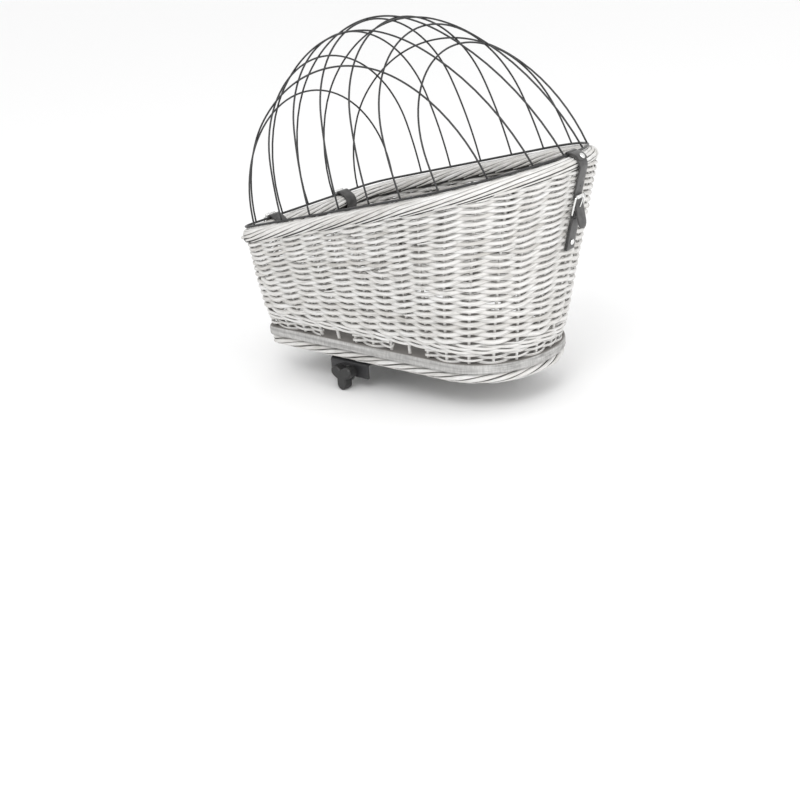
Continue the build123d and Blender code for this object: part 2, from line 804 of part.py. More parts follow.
def rounded_ring(width, length):
    """Adds a rectangle with rounded corners, its lower side on the origin and its length upward."""
    half, corner = width / 2, buckle_corner
    Line((corner - half, 0), (half - corner, 0))
    CenterArc((half - corner, corner), corner, -90, 90)
    Line((half, corner), (half, length - corner))
    CenterArc((half - corner, length - corner), corner, 0, 90)
    Line((half - corner, length), (corner - half, length))
    CenterArc((corner - half, length - corner), corner, 90, 90)
    Line((-half, length - corner), (-half, corner))
    CenterArc((corner - half, corner), corner, 180, 90)


# Hinge straps: each loops round the front border and the lid's front wire and closes in a buckle
roll_middle = (-border_side, -border_below)
hinge_buckle_reach = border_roll / 2 + hinge_buckle_gap
for side, plane in hinge_planes.items():
    buckle = Buckle(plane, polar(roll_middle, hinge_buckle_reach, hinge_bar_angle),
                    polar(roll_middle, hinge_buckle_reach, hinge_roller_angle), hinge_lift)
    end = polar(polar(buckle.bar, hinge_tongue, buckle.lean - 180), past_fold, buckle.lean - 90)
    with BuildPart() as hinge_strap:
        with BuildSketch(plane) as strap_side:
            with BuildLine():
                strap_route([(*buckle.bar, 0), (*roll_middle, -roll_reach), (0, 0, -wire_reach),
                             (*buckle.roller, past_roller), (*buckle.bar, -past_fold), (*end, 0)])
            trace(line_width=strap_thickness)
            with Locations(buckle.bar):
                Circle(fold_outer)
                Circle(fold_bore, mode=Mode.SUBTRACT)
        extrude(amount=strap_width / 2, both=True)
        buckle.cut_slot()
    finish(hinge_strap, f"hinge_strap_{side}")
    buckle.make(f"hinge_buckle_{side}", f"hinge_roller_{side}", f"hinge_prong_{side}")

# Closure at the rear: the upper strap loops round the lid's wire, the lower one is riveted on
roll_middle = (border_side * cos(closure_turn), -border_below)
roller = (wall_face(-closure_roller_drop) + closure_roller_gap, -closure_roller_drop)
bar = (wall_face(-closure_bar_drop) + closure_bar_gap, -closure_bar_drop)
buckle = Buckle(closure_plane, bar, roller, closure_lift)
closure_tongue_lean = closure_tongue_turn - (90 - buckle.lean)
leave = (roller[0] - past_roller * cos(radians(closure_tongue_lean)),
         roller[1] - past_roller * sin(radians(closure_tongue_lean)))
end = polar(leave, closure_tongue, closure_tongue_lean - 90)
loop_angle = degrees(atan2(-roll_middle[1], -roll_middle[0]))
closure_roll_reach = border_roll / 2 + closure_border_clearance + half_strap
doubled = closure_roll_reach + half_strap
rivet_foot = closure_plane.from_local_coords(
    Vector(*polar(roll_middle, doubled - strap_thickness, upper_rivet_angle), 0))
rivet_head_middle = closure_plane.from_local_coords(
    Vector(*polar(roll_middle, doubled + strap_thickness, upper_rivet_angle), 0))
upper_rivet_plane = Plane(origin=rivet_foot, z_dir=(rivet_head_middle - rivet_foot).normalized())
with BuildPart() as closure_upper_strap:
    with BuildSketch(closure_plane):
        with BuildLine():
            strap_route([(0, 0, 0), (*roll_middle, -closure_roll_reach), (*roller, past_roller),
                         (*end, 0)])
        trace(line_width=strap_thickness)
        with BuildLine():
            CenterArc(roll_middle, doubled + half_strap, upper_strap_fold_end,
                      loop_angle - upper_strap_fold_end)
        trace(line_width=strap_thickness)
        Circle(loop_outer)
        Circle(loop_bore, mode=Mode.SUBTRACT)
    extrude(amount=strap_width / 2, both=True)
    buckle.cut_slot()
    with BuildSketch(upper_rivet_plane) as rivet_place:
        Circle(rivet_diameter / 2 + rivet_clearance)
    extrude(rivet_place.sketch, amount=2 * strap_thickness + seat_gap, both=True,
            mode=Mode.SUBTRACT)
finish(closure_upper_strap, "closure_upper_strap")

with BuildPart() as closure_upper_rivet:
    with BuildSketch(upper_rivet_plane):
        Circle(rivet_diameter / 2)
    extrude(amount=2 * strap_thickness)
    with BuildSketch(upper_rivet_plane.offset(2 * strap_thickness)):
        Circle(rivet_head / 2)
    extrude(amount=rivet_head_height, taper=head_taper)
finish(closure_upper_rivet, "closure_upper_rivet")

band = lower_strap_layers * strap_thickness
band_reach = seat_gap + band / 2
fold_reach = fold_outer + prong_slot_gap
bend_height = -(closure_bar_drop + lower_strap_run)
bend = (wall_face(bend_height) + band_reach, bend_height)
with BuildPart() as doubled_strap:
    with BuildSketch(closure_plane):
        with BuildLine():
            Polyline(bar, bend, (wall_face(-lower_strap_end) + band_reach, -lower_strap_end))
        trace(line_width=band)
        with Locations(bar):
            Circle(fold_outer)
            Circle(fold_bore, mode=Mode.SUBTRACT)
    extrude(amount=strap_width / 2, both=True)
    half = prong_diameter / 2 + prong_slot_gap
    with BuildSketch(closure_plane) as slot:
        with Locations(bar):
            Circle(hypot(fold_reach, band / 2) + prong_slot_gap)
        with BuildLine():
            Polyline(polar(bar, half, buckle.prong_lean + 90),
                     polar(polar(bar, buckle.length, buckle.prong_lean), half, buckle.prong_lean + 90),
                     polar(bar, buckle.length, buckle.prong_lean - buckle.lift - closure_lift_slack),
                     polar(bar, half, buckle.prong_lean - 90 - buckle.lift), close=True)
        make_face()
    extrude(slot.sketch, amount=half, both=True, mode=Mode.SUBTRACT)
    with BuildSketch(lower_rivet_plane) as rivet_place:
        Circle(rivet_diameter / 2 + rivet_clearance)
    extrude(rivet_place.sketch, amount=overrun, both=True, mode=Mode.SUBTRACT)

# The lower strap's top is slit into two ends, which fold round the bar beside the prong
run = buckle.at(bend) - buckle.at(bar)
fold_seam = Plane(origin=buckle.at(bar) + run.normalized() * fold_reach, z_dir=run)
for name, side in (("closure_lower_strap", Keep.TOP), ("closure_fold_ends", Keep.BOTTOM)):
    with BuildPart() as strap_length:
        add(doubled_strap.part)
        split(bisect_by=fold_seam, keep=side)
    finish(strap_length, name)

with BuildPart() as closure_lower_rivet:
    with BuildSketch(lower_rivet_plane.offset(seat_gap + band)):
        Circle(rivet_head / 2)
    extrude(amount=rivet_head_height, taper=head_taper)
    with BuildSketch(lower_rivet_plane.offset(-wall - seat_gap)):
        Circle(rivet_diameter / 2)
    extrude(amount=wall + 2 * seat_gap + band)
    with BuildSketch(lower_rivet_plane.offset(-wall - seat_gap)):
        Circle(rivet_head / 2)
    extrude(amount=-rivet_head_height)
finish(closure_lower_rivet, "closure_lower_rivet")
buckle.make("closure_frame", "closure_roller", "closure_prong")
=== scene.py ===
# %% [markdown]
# This script dresses a imported CAD model of a willow basket with a lid of black wire. The CAD model
# fixes every size. Blender adds what a CAD solid can't show: the single rods of the weave, the
# grain of leather and wood, and the way light falls on them. The first step loads the CAD model and
# notes its box, whose lowest point later sets the floor's level.

import math

import bpy
import numpy as np
from mathutils import Matrix, Vector


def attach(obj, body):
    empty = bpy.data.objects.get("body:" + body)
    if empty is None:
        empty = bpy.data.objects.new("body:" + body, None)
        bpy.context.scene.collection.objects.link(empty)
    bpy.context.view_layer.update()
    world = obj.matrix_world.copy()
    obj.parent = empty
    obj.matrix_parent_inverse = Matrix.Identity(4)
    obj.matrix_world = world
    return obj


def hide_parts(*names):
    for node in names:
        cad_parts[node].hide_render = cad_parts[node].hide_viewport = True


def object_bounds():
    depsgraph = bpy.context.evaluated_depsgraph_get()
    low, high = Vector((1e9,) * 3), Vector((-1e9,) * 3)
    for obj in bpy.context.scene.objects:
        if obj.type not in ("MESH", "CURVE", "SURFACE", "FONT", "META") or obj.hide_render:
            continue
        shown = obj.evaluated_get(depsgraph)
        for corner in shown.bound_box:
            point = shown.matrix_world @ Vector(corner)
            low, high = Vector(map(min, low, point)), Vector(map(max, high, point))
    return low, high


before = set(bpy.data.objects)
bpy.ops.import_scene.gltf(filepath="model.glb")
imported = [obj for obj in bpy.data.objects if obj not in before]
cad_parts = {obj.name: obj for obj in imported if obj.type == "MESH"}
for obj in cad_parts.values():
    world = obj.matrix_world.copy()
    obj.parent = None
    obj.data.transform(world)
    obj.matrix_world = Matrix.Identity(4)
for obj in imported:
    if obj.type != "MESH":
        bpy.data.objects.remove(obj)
cad_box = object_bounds()
print("CAD nodes:", len(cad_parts), "box:", cad_box)

# %% [markdown]
# The basket is seen from its left and its high rear end, a little above the rim. A camera could be
# moved by hand until the view looks right, but that can't be written down. So it is set by the
# direction it looks from, and tipped a few degrees as a hand-held camera is. Placing it first means
# that every later step can be judged from the angle that matters.

# %% Camera
camera_azimuth = math.radians(41.956)
camera_elevation = math.radians(20.522)
camera_tip = math.radians(-4.284)
camera_distance = 2.8677
camera_target = Vector((0.0045, 0.0, -0.098))
lens_length = 80.84
sensor_width = 36.0


def add_object(name, data):
    thing = bpy.data.objects.new(name, data)
    bpy.context.scene.collection.objects.link(thing)
    return thing


def add_camera():
    """Aim a long lens at the basket and tip it about its own line of sight."""
    back = Vector((
        math.sin(camera_azimuth) * math.cos(camera_elevation),
        -math.cos(camera_azimuth) * math.cos(camera_elevation),
        math.sin(camera_elevation),
    ))
    data = bpy.data.cameras.new("camera")
    data.lens = lens_length
    data.sensor_width = sensor_width
    camera = add_object("camera", data)
    camera.location = camera_target + back * camera_distance
    aim = (-back).to_track_quat("-Z", "Y").to_matrix().to_4x4()
    camera.rotation_euler = (aim @ Matrix.Rotation(camera_tip, 4, "Z")).to_euler()
    bpy.context.scene.camera = camera
    return camera


camera = add_camera()
print("camera at", [round(v, 3) for v in camera.location])

# %% [markdown]
# Everything woven follows two D-shaped outlines: a small one on the board and a larger, tilted one
# at the rim. A D is a straight front, two sides, two shoulder arcs and a wider rear arc. Working
# out these five pieces once lets every rod find its place, as a weaver's mould does. Lengths here
# are in metres, because Blender's unit is the metre.

# %% Sizes shared with the CAD model
board_top = 0.0375
board_under = 0.0225
board_front = -0.165
lower_weave_top = 0.0545
waling_top = 0.0675
rim_front = -0.1595
rim_height = 0.2055
rim_slope = math.radians(14.0)
border_roll = 0.026
foot_roll = 0.020
base_wire = 0.0036
dome_wire = 0.0028
lid_clearance = 0.0008
border_drop = border_roll / 2 + base_wire / 2 + lid_clearance
wall_top_drop = border_drop + border_roll / 2
stake_count = 35
stake_inset = 0.0085
# An outline's length, front width, flare, and the radii of its corner, shoulder and rear.
board_dims = (0.467, 0.234, 0.0, 0.020, 0.105, 0.155)
rim_dims = (0.520, 0.321, math.radians(1.2), 0.036, 0.158, 0.178)
rim_along = np.array([math.cos(rim_slope), 0.0, math.sin(rim_slope)])
rim_up = np.array([-math.sin(rim_slope), 0.0, math.cos(rim_slope)])
rim_origin = np.array([rim_front, 0.0, rim_height])
crosswise = np.array([0.0, 1.0, 0.0])
upward = np.array([0.0, 0.0, 1.0])


def heading(angle):
    """The direction of an angle, or of each angle in an array."""
    return np.stack([np.cos(angle), np.sin(angle)], -1)


def left_of(way):
    """The direction a quarter turn to the left of another."""
    return np.stack([-way[..., 1], way[..., 0]], -1)


def d_pieces(dims, inset=0.0):
    """Half of a D outline from the middle of its front: five (length, point at share) pairs."""
    length, width, flare, corner, shoulder, rear = dims
    length, corner, shoulder, rear = length - inset, corner - inset, shoulder - inset, rear - inset
    along = heading(flare)
    outward = left_of(along)
    start = np.array([0.0, width / 2]) - outward * inset
    foot = start + along * ((inset - start[0]) / along[0])
    corner_mid = np.array([inset + corner,
                           foot[1] + (math.tan(flare) - 1 / math.cos(flare)) * corner])
    rear_mid = np.array([length - rear, 0.0])
    base = foot - outward * shoulder - rear_mid
    run = -base @ along
    reach = rear - shoulder
    run = run + math.sqrt(run ** 2 - base @ base + reach ** 2)
    side_end = foot + along * run
    shoulder_mid = side_end - outward * shoulder
    turn = shoulder_mid - rear_mid
    rear_half = math.atan2(turn[1], turn[0])
    side_angle = math.atan2(outward[1], outward[0])

    def line(a, b):
        return lambda t: a + (b - a) * np.asarray(t)[..., None]

    def arc(mid, radius, begin, swing):
        return lambda t: mid + radius * heading(begin + swing * np.asarray(t))

    front_end = np.array([inset, corner_mid[1]])
    side_start = corner_mid + outward * corner
    return [
        (front_end[1], line(np.array([inset, 0.0]), front_end)),
        (corner * (math.pi - side_angle), arc(corner_mid, corner, math.pi, side_angle - math.pi)),
        (np.linalg.norm(side_end - side_start), line(side_start, side_end)),
        (shoulder * (side_angle - rear_half),
         arc(shoulder_mid, shoulder, side_angle, rear_half - side_angle)),
        (rear * rear_half, arc(rear_mid, rear, rear_half, -rear_half)),
    ]


rim_pieces = d_pieces(rim_dims)
stake_pieces = d_pieces(board_dims, stake_inset)
half_round = sum(length for length, _ in stake_pieces)
stake_pitch = 2 * half_round / stake_count
print("stakes stand", round(stake_pitch * 1000, 1), "mm apart on the board")

# %% [markdown]
# A rod's place is written as a stake number from 0 to 35 round the basket, and a share of the
# wall's height. A table of points made once, and read by interpolation, is much faster than working
# the arcs out again for each of the tens of thousands of points in the weave.

# %% Points round the basket
hair = 1e-9
table_steps = 40


def unit(vectors):
    return vectors / np.linalg.norm(vectors, axis=-1, keepdims=True)


def gone_along(points):
    """The distance gone along a path at each of its points."""
    return np.concatenate([[0.0], np.cumsum(np.linalg.norm(np.diff(points, axis=0), axis=1))])


def round_points(pieces, numbers):
    """Plan points at stake numbers: the half outline, mirrored for the second half."""
    numbers = np.mod(np.asarray(numbers, float), stake_count)
    second = numbers > stake_count / 2
    run = np.where(second, stake_count - numbers, numbers) * stake_pitch
    points = np.zeros(run.shape + (2,))
    begin = 0.0
    for (stake_length, _), (_, place) in zip(stake_pieces, pieces):
        inside = (run >= begin - hair) & (run <= begin + stake_length + hair)
        points[inside] = place((run[inside] - begin) / stake_length)
        begin += stake_length
    points[..., 1] *= np.where(second, -1.0, 1.0)
    return points


def on_rim(plan, drop):
    """Lay plan points on the tilted rim, a little below the lid's wire."""
    plan = np.asarray(plan)
    return rim_origin + plan[..., :1] * rim_along + plan[..., 1:] * crosswise - drop * rim_up


def on_board(plan, height):
    return np.column_stack([plan[:, 0] + board_front, plan[:, 1], np.full(len(plan), height)])


table_numbers = np.linspace(0, stake_count, stake_count * table_steps + 1)
foot_table = on_board(round_points(stake_pieces, table_numbers), board_top)
head_table = on_rim(round_points(rim_pieces, table_numbers), wall_top_drop)
head_run = gone_along(head_table)
even_numbers = head_run / head_run[-1] * stake_count
print("tables of", len(table_numbers), "points, rim", round(head_run[-1], 3), "m round")

# %% [markdown]
# The real wall leans out from the board to the rim. It could be one bent sheet, but rods need a
# point at any place and a direction to swing out in, so the wall is a straight span between the two
# tables. The stakes stand evenly on the board and evenly at the rim, but the outlines differ in
# shape, so a stake also shifts a little along the wall on its way up. As the rim is tilted, a level
# height is another share of the wall at each stake, and a few guesses find it.

# %% Points in the wall
ahead_step = 0.05
share_guess = 0.3


def read(table, numbers):
    numbers = np.mod(numbers, stake_count)
    return np.stack([np.interp(numbers, table_numbers, table[:, k]) for k in range(3)], -1)


def fan(numbers, share):
    """Stake numbers on the rim's outline, shifted so that the stakes stand evenly there too."""
    inside = np.mod(numbers, stake_count)
    shift = np.interp(inside, even_numbers, table_numbers) - inside
    return numbers + shift * np.clip(share, 0.0, 1.0)


def wall_point(numbers, share, out=0.0):
    """A point in the wall and the outward direction there."""
    numbers = fan(numbers, share)
    low, high = read(foot_table, numbers), read(head_table, numbers)
    ahead = (read(foot_table, numbers + ahead_step) - read(foot_table, numbers - ahead_step)
             + read(head_table, numbers + ahead_step) - read(head_table, numbers - ahead_step))
    outward = unit(np.cross(unit(high - low), ahead))
    share = np.asarray(share)[..., None]
    return low + (high - low) * share + outward * np.asarray(out)[..., None], outward


def share_at(numbers, height):
    """The share of the wall's height at which it reaches a level height, by a few guesses."""
    share = np.full(np.shape(numbers), share_guess)
    for _ in range(4):
        at = fan(numbers, share)
        low, high = read(foot_table, at), read(head_table, at)
        share = (height - low[..., 2]) / (high[..., 2] - low[..., 2])
    return share


sample, _ = wall_point(np.array([0.0, stake_count / 2]), np.array([1.0, 1.0]))
print("wall top, front and rear, mm:", np.round(sample * 1000).tolist())

# %% [markdown]
# A willow rod is a long thin cone that bends. Blender's curve objects could draw one, but a few
# hundred of them are slow, and their ends are hard to shape. So each rod is made as a mesh tube:
# rings of points along its path. Each vertex also keeps how far along the rod it is, how light that
# rod is, and how well the white wash and the light could reach it, and the material reads all three.
# This last value is partly wash and partly painted shade. The colour is white on what stands out
# from the wall and dark in the hollows, where bare grey bark shows and painted shade goes near
# black.
# A point's reach is its distance from the wall's middle, on the side that it faces. A rod without a
# middle is painted darker on the side turned away from its given direction, such as a core's
# underside.

# %% Tubes from paths
# The reach at which a point is fully washed and free of painted shade, and the facing over which
# painted shade on a rod's turned-away side fades out.
full_wash_and_light = 0.0024
wash_and_shade_start, wash_and_shade_span = 0.02, 0.60
grain_shift = 7.0
grain_round = 0.002
plain_tone = 0.5


def ring_faces(count, sides, base):
    """Faces of a tube made of rings of points: quads between the rings and a cap at each end."""
    i = np.arange(count - 1)[:, None] * sides
    k = np.arange(sides)
    after = (k + 1) % sides
    quads = np.stack([i + k, i + after, i + sides + after, i + sides + k], -1).reshape(-1, 4)
    return (quads + base).tolist() + [(base + k[::-1]).tolist(),
                                      (base + (count - 1) * sides + k).tolist()]


def new_piece(name, verts, faces):
    mesh = bpy.data.meshes.new(name)
    mesh.from_pydata(np.concatenate(verts).tolist(), [], faces)
    mesh.polygons.foreach_set("use_smooth", np.ones(len(mesh.polygons), bool))
    return add_object(name, mesh)


def tube_mesh(name, rods, sides=8):
    """One object from many rods: (points, radii, side direction, tone, distance from middle)."""
    verts, faces, grain, tones, wash_and_shade_values = [], [], [], [], []
    base = 0
    turn = np.arange(sides) * 2 * math.pi / sides
    facing = np.sin(turn)[None, :]
    for points, radii, side, tone, *stand in rods:
        points = np.asarray(points, float)
        count = len(points)
        radii = np.broadcast_to(np.asarray(radii, float), (count,))
        tangent = unit(np.gradient(points, axis=0))
        across = unit(np.cross(tangent, np.broadcast_to(side, points.shape)))
        other = np.cross(across, tangent)
        ring = (np.cos(turn)[None, :, None] * across[:, None]
                + np.sin(turn)[None, :, None] * other[:, None]) * radii[:, None, None]
        verts.append((points[:, None] + ring).reshape(-1, 3))
        grain.append(np.stack([np.repeat(gone_along(points), sides) + tone * grain_shift,
                               np.tile(np.sin(turn) * grain_round, count),
                               np.tile(np.cos(turn) * grain_round, count)], -1))
        tones.append(np.full(count * sides, tone))
        # Painted shade, with thinner wash: dark deep in the wall's hollows, or on the side turned
        # away from a rod's given direction.
        if stand:
            middle = np.broadcast_to(stand[0], (count,))
            reach = (middle[:, None] + radii[:, None] * facing) * facing
            wash_and_shade = 0.5 + reach / (2 * full_wash_and_light)
        else:
            wash_and_shade = np.repeat((facing - wash_and_shade_start) / wash_and_shade_span, count, axis=0)
        wash_and_shade_values.append(np.clip(wash_and_shade, 0.0, 1.0).ravel())
        faces += ring_faces(count, sides, base)
        base += count * sides
    piece = new_piece(name, verts, faces)
    for label, kind, field, values in (("grain", "FLOAT_VECTOR", "vector", grain),
                                       ("tone", "FLOAT", "value", tones),
                                       ("wash_and_shade", "FLOAT", "value", wash_and_shade_values)):
        data = piece.data.attributes.new(label, kind, "POINT").data
        data.foreach_set(field, np.concatenate(values).astype(np.float32).ravel())
    piece.data.update()
    return piece


print("faces of a tube of 3 rings with 8 sides:", len(ring_faces(3, 8, 0)))

# %% [markdown]
# A finish is what light meets: bark, leather, enamel or plated steel. It could be painted as
# pictures, but those blur up close and need files beside the script. A network of shader nodes
# stays sharp: textures feed colour ramps, ramps are mixed, and one texture also raises a fine bump.
# The class below keeps the network of one material, so that a finish takes only a few lines. The
# plainest finish, the studio floor's, is made at once.

# %% Finishes from nodes
white = (1.0, 1.0, 1.0)


class Finish:
    """A material under way. A value for an input is a number, a colour or another node's output."""

    def __init__(self, name, roughness):
        self.material = bpy.data.materials.new(name)
        self.material.use_nodes = True
        self.tree = self.material.node_tree
        self.shader = self.tree.nodes["Principled BSDF"]
        self.feed(self.shader, {"Roughness": roughness})

    def feed(self, node, values):
        for key, value in values.items():
            if hasattr(value, "links"):
                self.tree.links.new(value, node.inputs[key])
            else:
                node.inputs[key].default_value = value

    def add(self, kind, values, **settings):
        node = self.tree.nodes.new("ShaderNode" + kind)
        for key, value in settings.items():
            setattr(node, key, value)
        self.feed(node, values)
        return node.outputs

    def place(self):
        return self.add("TexCoord", {})["Object"]

    def attribute(self, name, output="Fac"):
        return self.add("Attribute", {}, attribute_name=name)[output]

    def noise(self, vector, scale, detail=3.0, stretch=(1, 1, 1)):
        mapped = self.add("Mapping", {"Vector": vector, "Scale": stretch})["Vector"]
        return self.add("TexNoise", {"Vector": mapped, "Scale": scale, "Detail": detail})["Fac"]

    def ramp(self, source, *stops):
        """The colour at a place on a scale of (place, colour) stops."""
        colour = self.add("ValToRGB", {"Fac": source})["Color"]
        elements = colour.node.color_ramp.elements
        for element, (place, shade) in ((elements[0], stops[0]), (elements[1], stops[-1])):
            element.position = place
            element.color = (*shade, 1)
        for place, shade in stops[1:-1]:
            elements.new(place).color = (*shade, 1)
        return colour

    def mix(self, share, first, second, blend="MULTIPLY"):
        """Two colours mixed. A Mix node has its colours as inputs 6 and 7, and output 2."""
        return self.add("Mix", {0: share, 6: first, 7: second}, data_type="RGBA",
                        blend_type=blend)[2]

    def bump(self, height, strength, distance):
        normal = self.add("Bump", {"Strength": strength, "Distance": distance, "Height": height})
        self.feed(self.shader, {"Normal": normal["Normal"]})


floor_finish = Finish("pale_floor", 0.9)
floor_finish.feed(floor_finish.shader, {"Base Color": (0.93, 0.93, 0.93, 1)})
print("finish:", floor_finish.material.name)

# %% [markdown]
# Washed willow is pale and slightly chalky. Under the white wash the bark's fine lines run along
# each rod, some rods are greyer than others, and the wash is thinner on patches. A noise texture
# stretched along the rod gives the lines, a broad one gives the patches, and each rod's own tone
# shifts its lightness. The bump is kept small, because the shapes of the rods do most of the work.

# %% Washed willow finish
def washed_willow(name, light, dark):
    finish = Finish(name, 0.62)
    grain = finish.attribute("grain", "Vector")
    lines = finish.noise(grain, 900.0, 4.0, (0.06, 1.0, 1.0))
    patches = finish.noise(grain, 22.0, 2.0)
    colour = finish.ramp(lines, (0.30, dark), (0.52, light), (1.0, light))
    # The last layer darkens the hollows and turned-away sides nearly to black: thinner wash there,
    # and painted shade.
    for layer in (
            finish.ramp(patches, (0.3, (0.86, 0.85, 0.83)), (0.62, white)),
            finish.ramp(finish.attribute("tone"), (0.0, (0.80, 0.79, 0.775)),
                        (0.35, (0.95, 0.945, 0.94)), (1.0, white)),
            finish.ramp(finish.attribute("wash_and_shade"), (0.05, (0.06, 0.058, 0.056)),
                        (0.32, (0.46, 0.455, 0.445)), (0.56, white))):
        colour = finish.mix(1.0, colour, layer)
    finish.feed(finish.shader, {"Base Color": colour})
    finish.bump(lines, 0.35, 0.0004)
    return finish.material


willow = washed_willow("washed_willow", (0.755, 0.75, 0.74), (0.53, 0.525, 0.51))
print("finish:", willow.name)

# %% [markdown]
# The stakes are the wall's skeleton: thirty-five upright rods through holes in the board, leaning
# out to the rim. They are almost hidden by the weave, but show in the gaps beside each bump and
# stand alone in the strap slots. Straight tubes from the board's underside to the border are right.

# %% Stakes
stake_foot_radius, stake_head_radius = 0.0025, 0.0021
stake_stand = 0.0006
rng = np.random.default_rng(7)


def settle(piece, material, body, slot, *nodes):
    """Give a piece its finish, its body and the CAD nodes it stands for."""
    piece.data.materials.append(material)
    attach(piece, body)
    if nodes:
        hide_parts(*nodes)
    print(piece.name, len(piece.data.vertices), "vertices")


def add_woven(name, rods):
    """A willow piece on the basket's body, in place of the CAD node of the same name."""
    settle(tube_mesh(name + "_visual", rods), willow, "basket", "willow", name)


def stake_rods():
    rods = []
    for number in range(stake_count):
        shares = np.linspace(0.0, 1.0, 12)
        points, outward = wall_point(np.full(len(shares), float(number)), shares)
        points = np.vstack([points[0] - upward * (board_top - board_under), points])
        radii = np.linspace(stake_foot_radius, stake_head_radius, len(points))
        rods.append((points, radii, np.vstack([outward[:1], outward]), rng.uniform(0.2, 1.0),
                     stake_stand))
    return rods


add_woven("stakes", stake_rods())

# %% [markdown]
# The wall is randed: each rod passes in front of one stake and behind the next, and the row above
# does the opposite. With an odd number of stakes one long spiral does this by itself. The rear of
# the wall is twice as high as the front, so extra pairs of rows start partway along each side. A
# weight from 0 to 1 says how much of each row is present at a stake, and the rows share the height
# by their weights, so they fan out smoothly toward the slanted rim.

# %% Rows of the wall
base_rows = 23
extra_pairs = 13
row_pitch = 0.0049
last_start = stake_count / 2 - 1.2
pair_growth, pair_at_start = 1.6, 0.25
first_thickness, thickness_loss = 1.18, 0.36
pair_after = [1 + round(k * (base_rows - 3) / (extra_pairs - 1)) for k in range(extra_pairs)]
pair_order = [(k * 5 + 2) % extra_pairs for k in range(extra_pairs)]


def wall_height(numbers):
    """The wall's slanted height above the waling."""
    span = np.linalg.norm(read(head_table, numbers) - read(foot_table, numbers), axis=-1)
    return (1 - share_at(numbers, waling_top)) * span


scan = np.linspace(0, stake_count / 2, 400)
rows_wanted = wall_height(scan) / row_pitch
pair_start = [min(float(np.interp(base_rows + 2 * order + 1, rows_wanted, scan)), last_start)
              for order in pair_order]
print("pairs of rows start at stakes", np.round(sorted(pair_start), 1).tolist())


def pair_weight(pair, numbers):
    """How far a pair of extra rows is present: 0 before its start, 1 well after it."""
    numbers = np.mod(numbers, stake_count)
    from_front = np.minimum(numbers, stake_count - numbers)
    return np.clip((from_front - pair_start[pair]) / pair_growth + pair_at_start, 0.0, 1.0)


def row_thickness(row):
    """Rows low on the wall use the thick ends of the rods."""
    return first_thickness - thickness_loss * row / base_rows


row_numbers = np.arange(base_rows + 2)
row_edges = np.concatenate([[0.0], np.cumsum(row_thickness(row_numbers))])
head_share = 1.03


def row_place(level, numbers, pair=None, upper=False):
    """Share of the wall's height and half spacing at a level in rows, or for an extra pair."""
    total = np.full(numbers.shape, row_edges[base_rows])
    below = np.interp(level, np.arange(len(row_edges)), row_edges)
    size = row_thickness(np.clip(level, 0, row_numbers[-1]))
    spiral_step = np.mod(numbers, stake_count) / stake_count
    for k, after in enumerate(pair_after):
        weight = pair_weight(k, numbers) * 2 * row_thickness(after)
        total = total + weight
        if k == pair:
            below = below + weight * (3 if upper else 1) / 4
            size = weight / 2
        else:
            below = below + weight * np.clip((level - (after + 1) - spiral_step) / 0.5 + 0.5, 0, 1)
    bottom = share_at(numbers, waling_top)
    share = bottom + (head_share - bottom) * below / total
    return share, size / total * wall_height(numbers) / 2


# %% [markdown]
# A rod in the wall swings out past one stake and in past the next. It could be bent by hand round
# every stake, but a cosine of the stake number gives the same path and never misses one. Each rod
# is drawn a little thicker than its share of the height, because real rods press on one another,
# and small random drifts keep the rows from looking machine-made.

# %% Rods of the wall
weave_swing = 0.0045
rod_fill = 1.28
steps_per_stake = 9
spiral_lead = 17
tip_length = 5.0
thinnest_rod = 0.0009
thickness_drift = 0.05
out_drift = 0.00025
spiral_share_drift, pair_share_drift = 0.0010, 0.0008
shortest_rod, longest_rod = 0.55, 1.1


def wander(count, size, coarse=14):
    """Slow random drift along a rod, so that no two rods run quite alike."""
    knots = rng.normal(0.0, size, max(4, count // coarse + 2))
    return np.interp(np.linspace(0, len(knots) - 1, count), np.arange(len(knots)), knots)


def numbers_between(first, last, steps):
    """Stake numbers from first to last, with some steps to each stake."""
    return np.arange(first * steps, last * steps + 1) / float(steps)


def rod_radii(half, count):
    return half * rod_fill * (1 + wander(count, thickness_drift, 60))


def spiral_rods():
    """The long spiral that makes every full row of the wall. It starts some stakes early, low on
    the waling, so that its first turn leaves no wedge open. It is cut into rods of mixed length."""
    numbers = numbers_between(-spiral_lead, base_rows * stake_count, steps_per_stake)[:-1]
    count = len(numbers)
    ring = np.mod(numbers, stake_count)
    share, half = row_place(numbers / stake_count + 0.5, ring)
    thick = rod_radii(half, count) * np.clip((numbers + spiral_lead) / tip_length, 0.3, 1.0)
    out = weave_swing * np.cos(math.pi * numbers) + wander(count, out_drift, 20)
    points, outward = wall_point(ring, share + wander(count, spiral_share_drift, 12), out)
    rods = []
    cut = 0
    while cut < count - 4:
        rounds = rng.uniform(shortest_rod, longest_rod)
        end = min(count, cut + int(rounds * stake_count * steps_per_stake))
        part = slice(cut, end + 1)
        rods.append((points[part], thick[part], outward[part], rng.uniform(0.0, 1.0), out[part]))
        cut = end
    print("the spiral is", len(rods), "rods")
    return rods


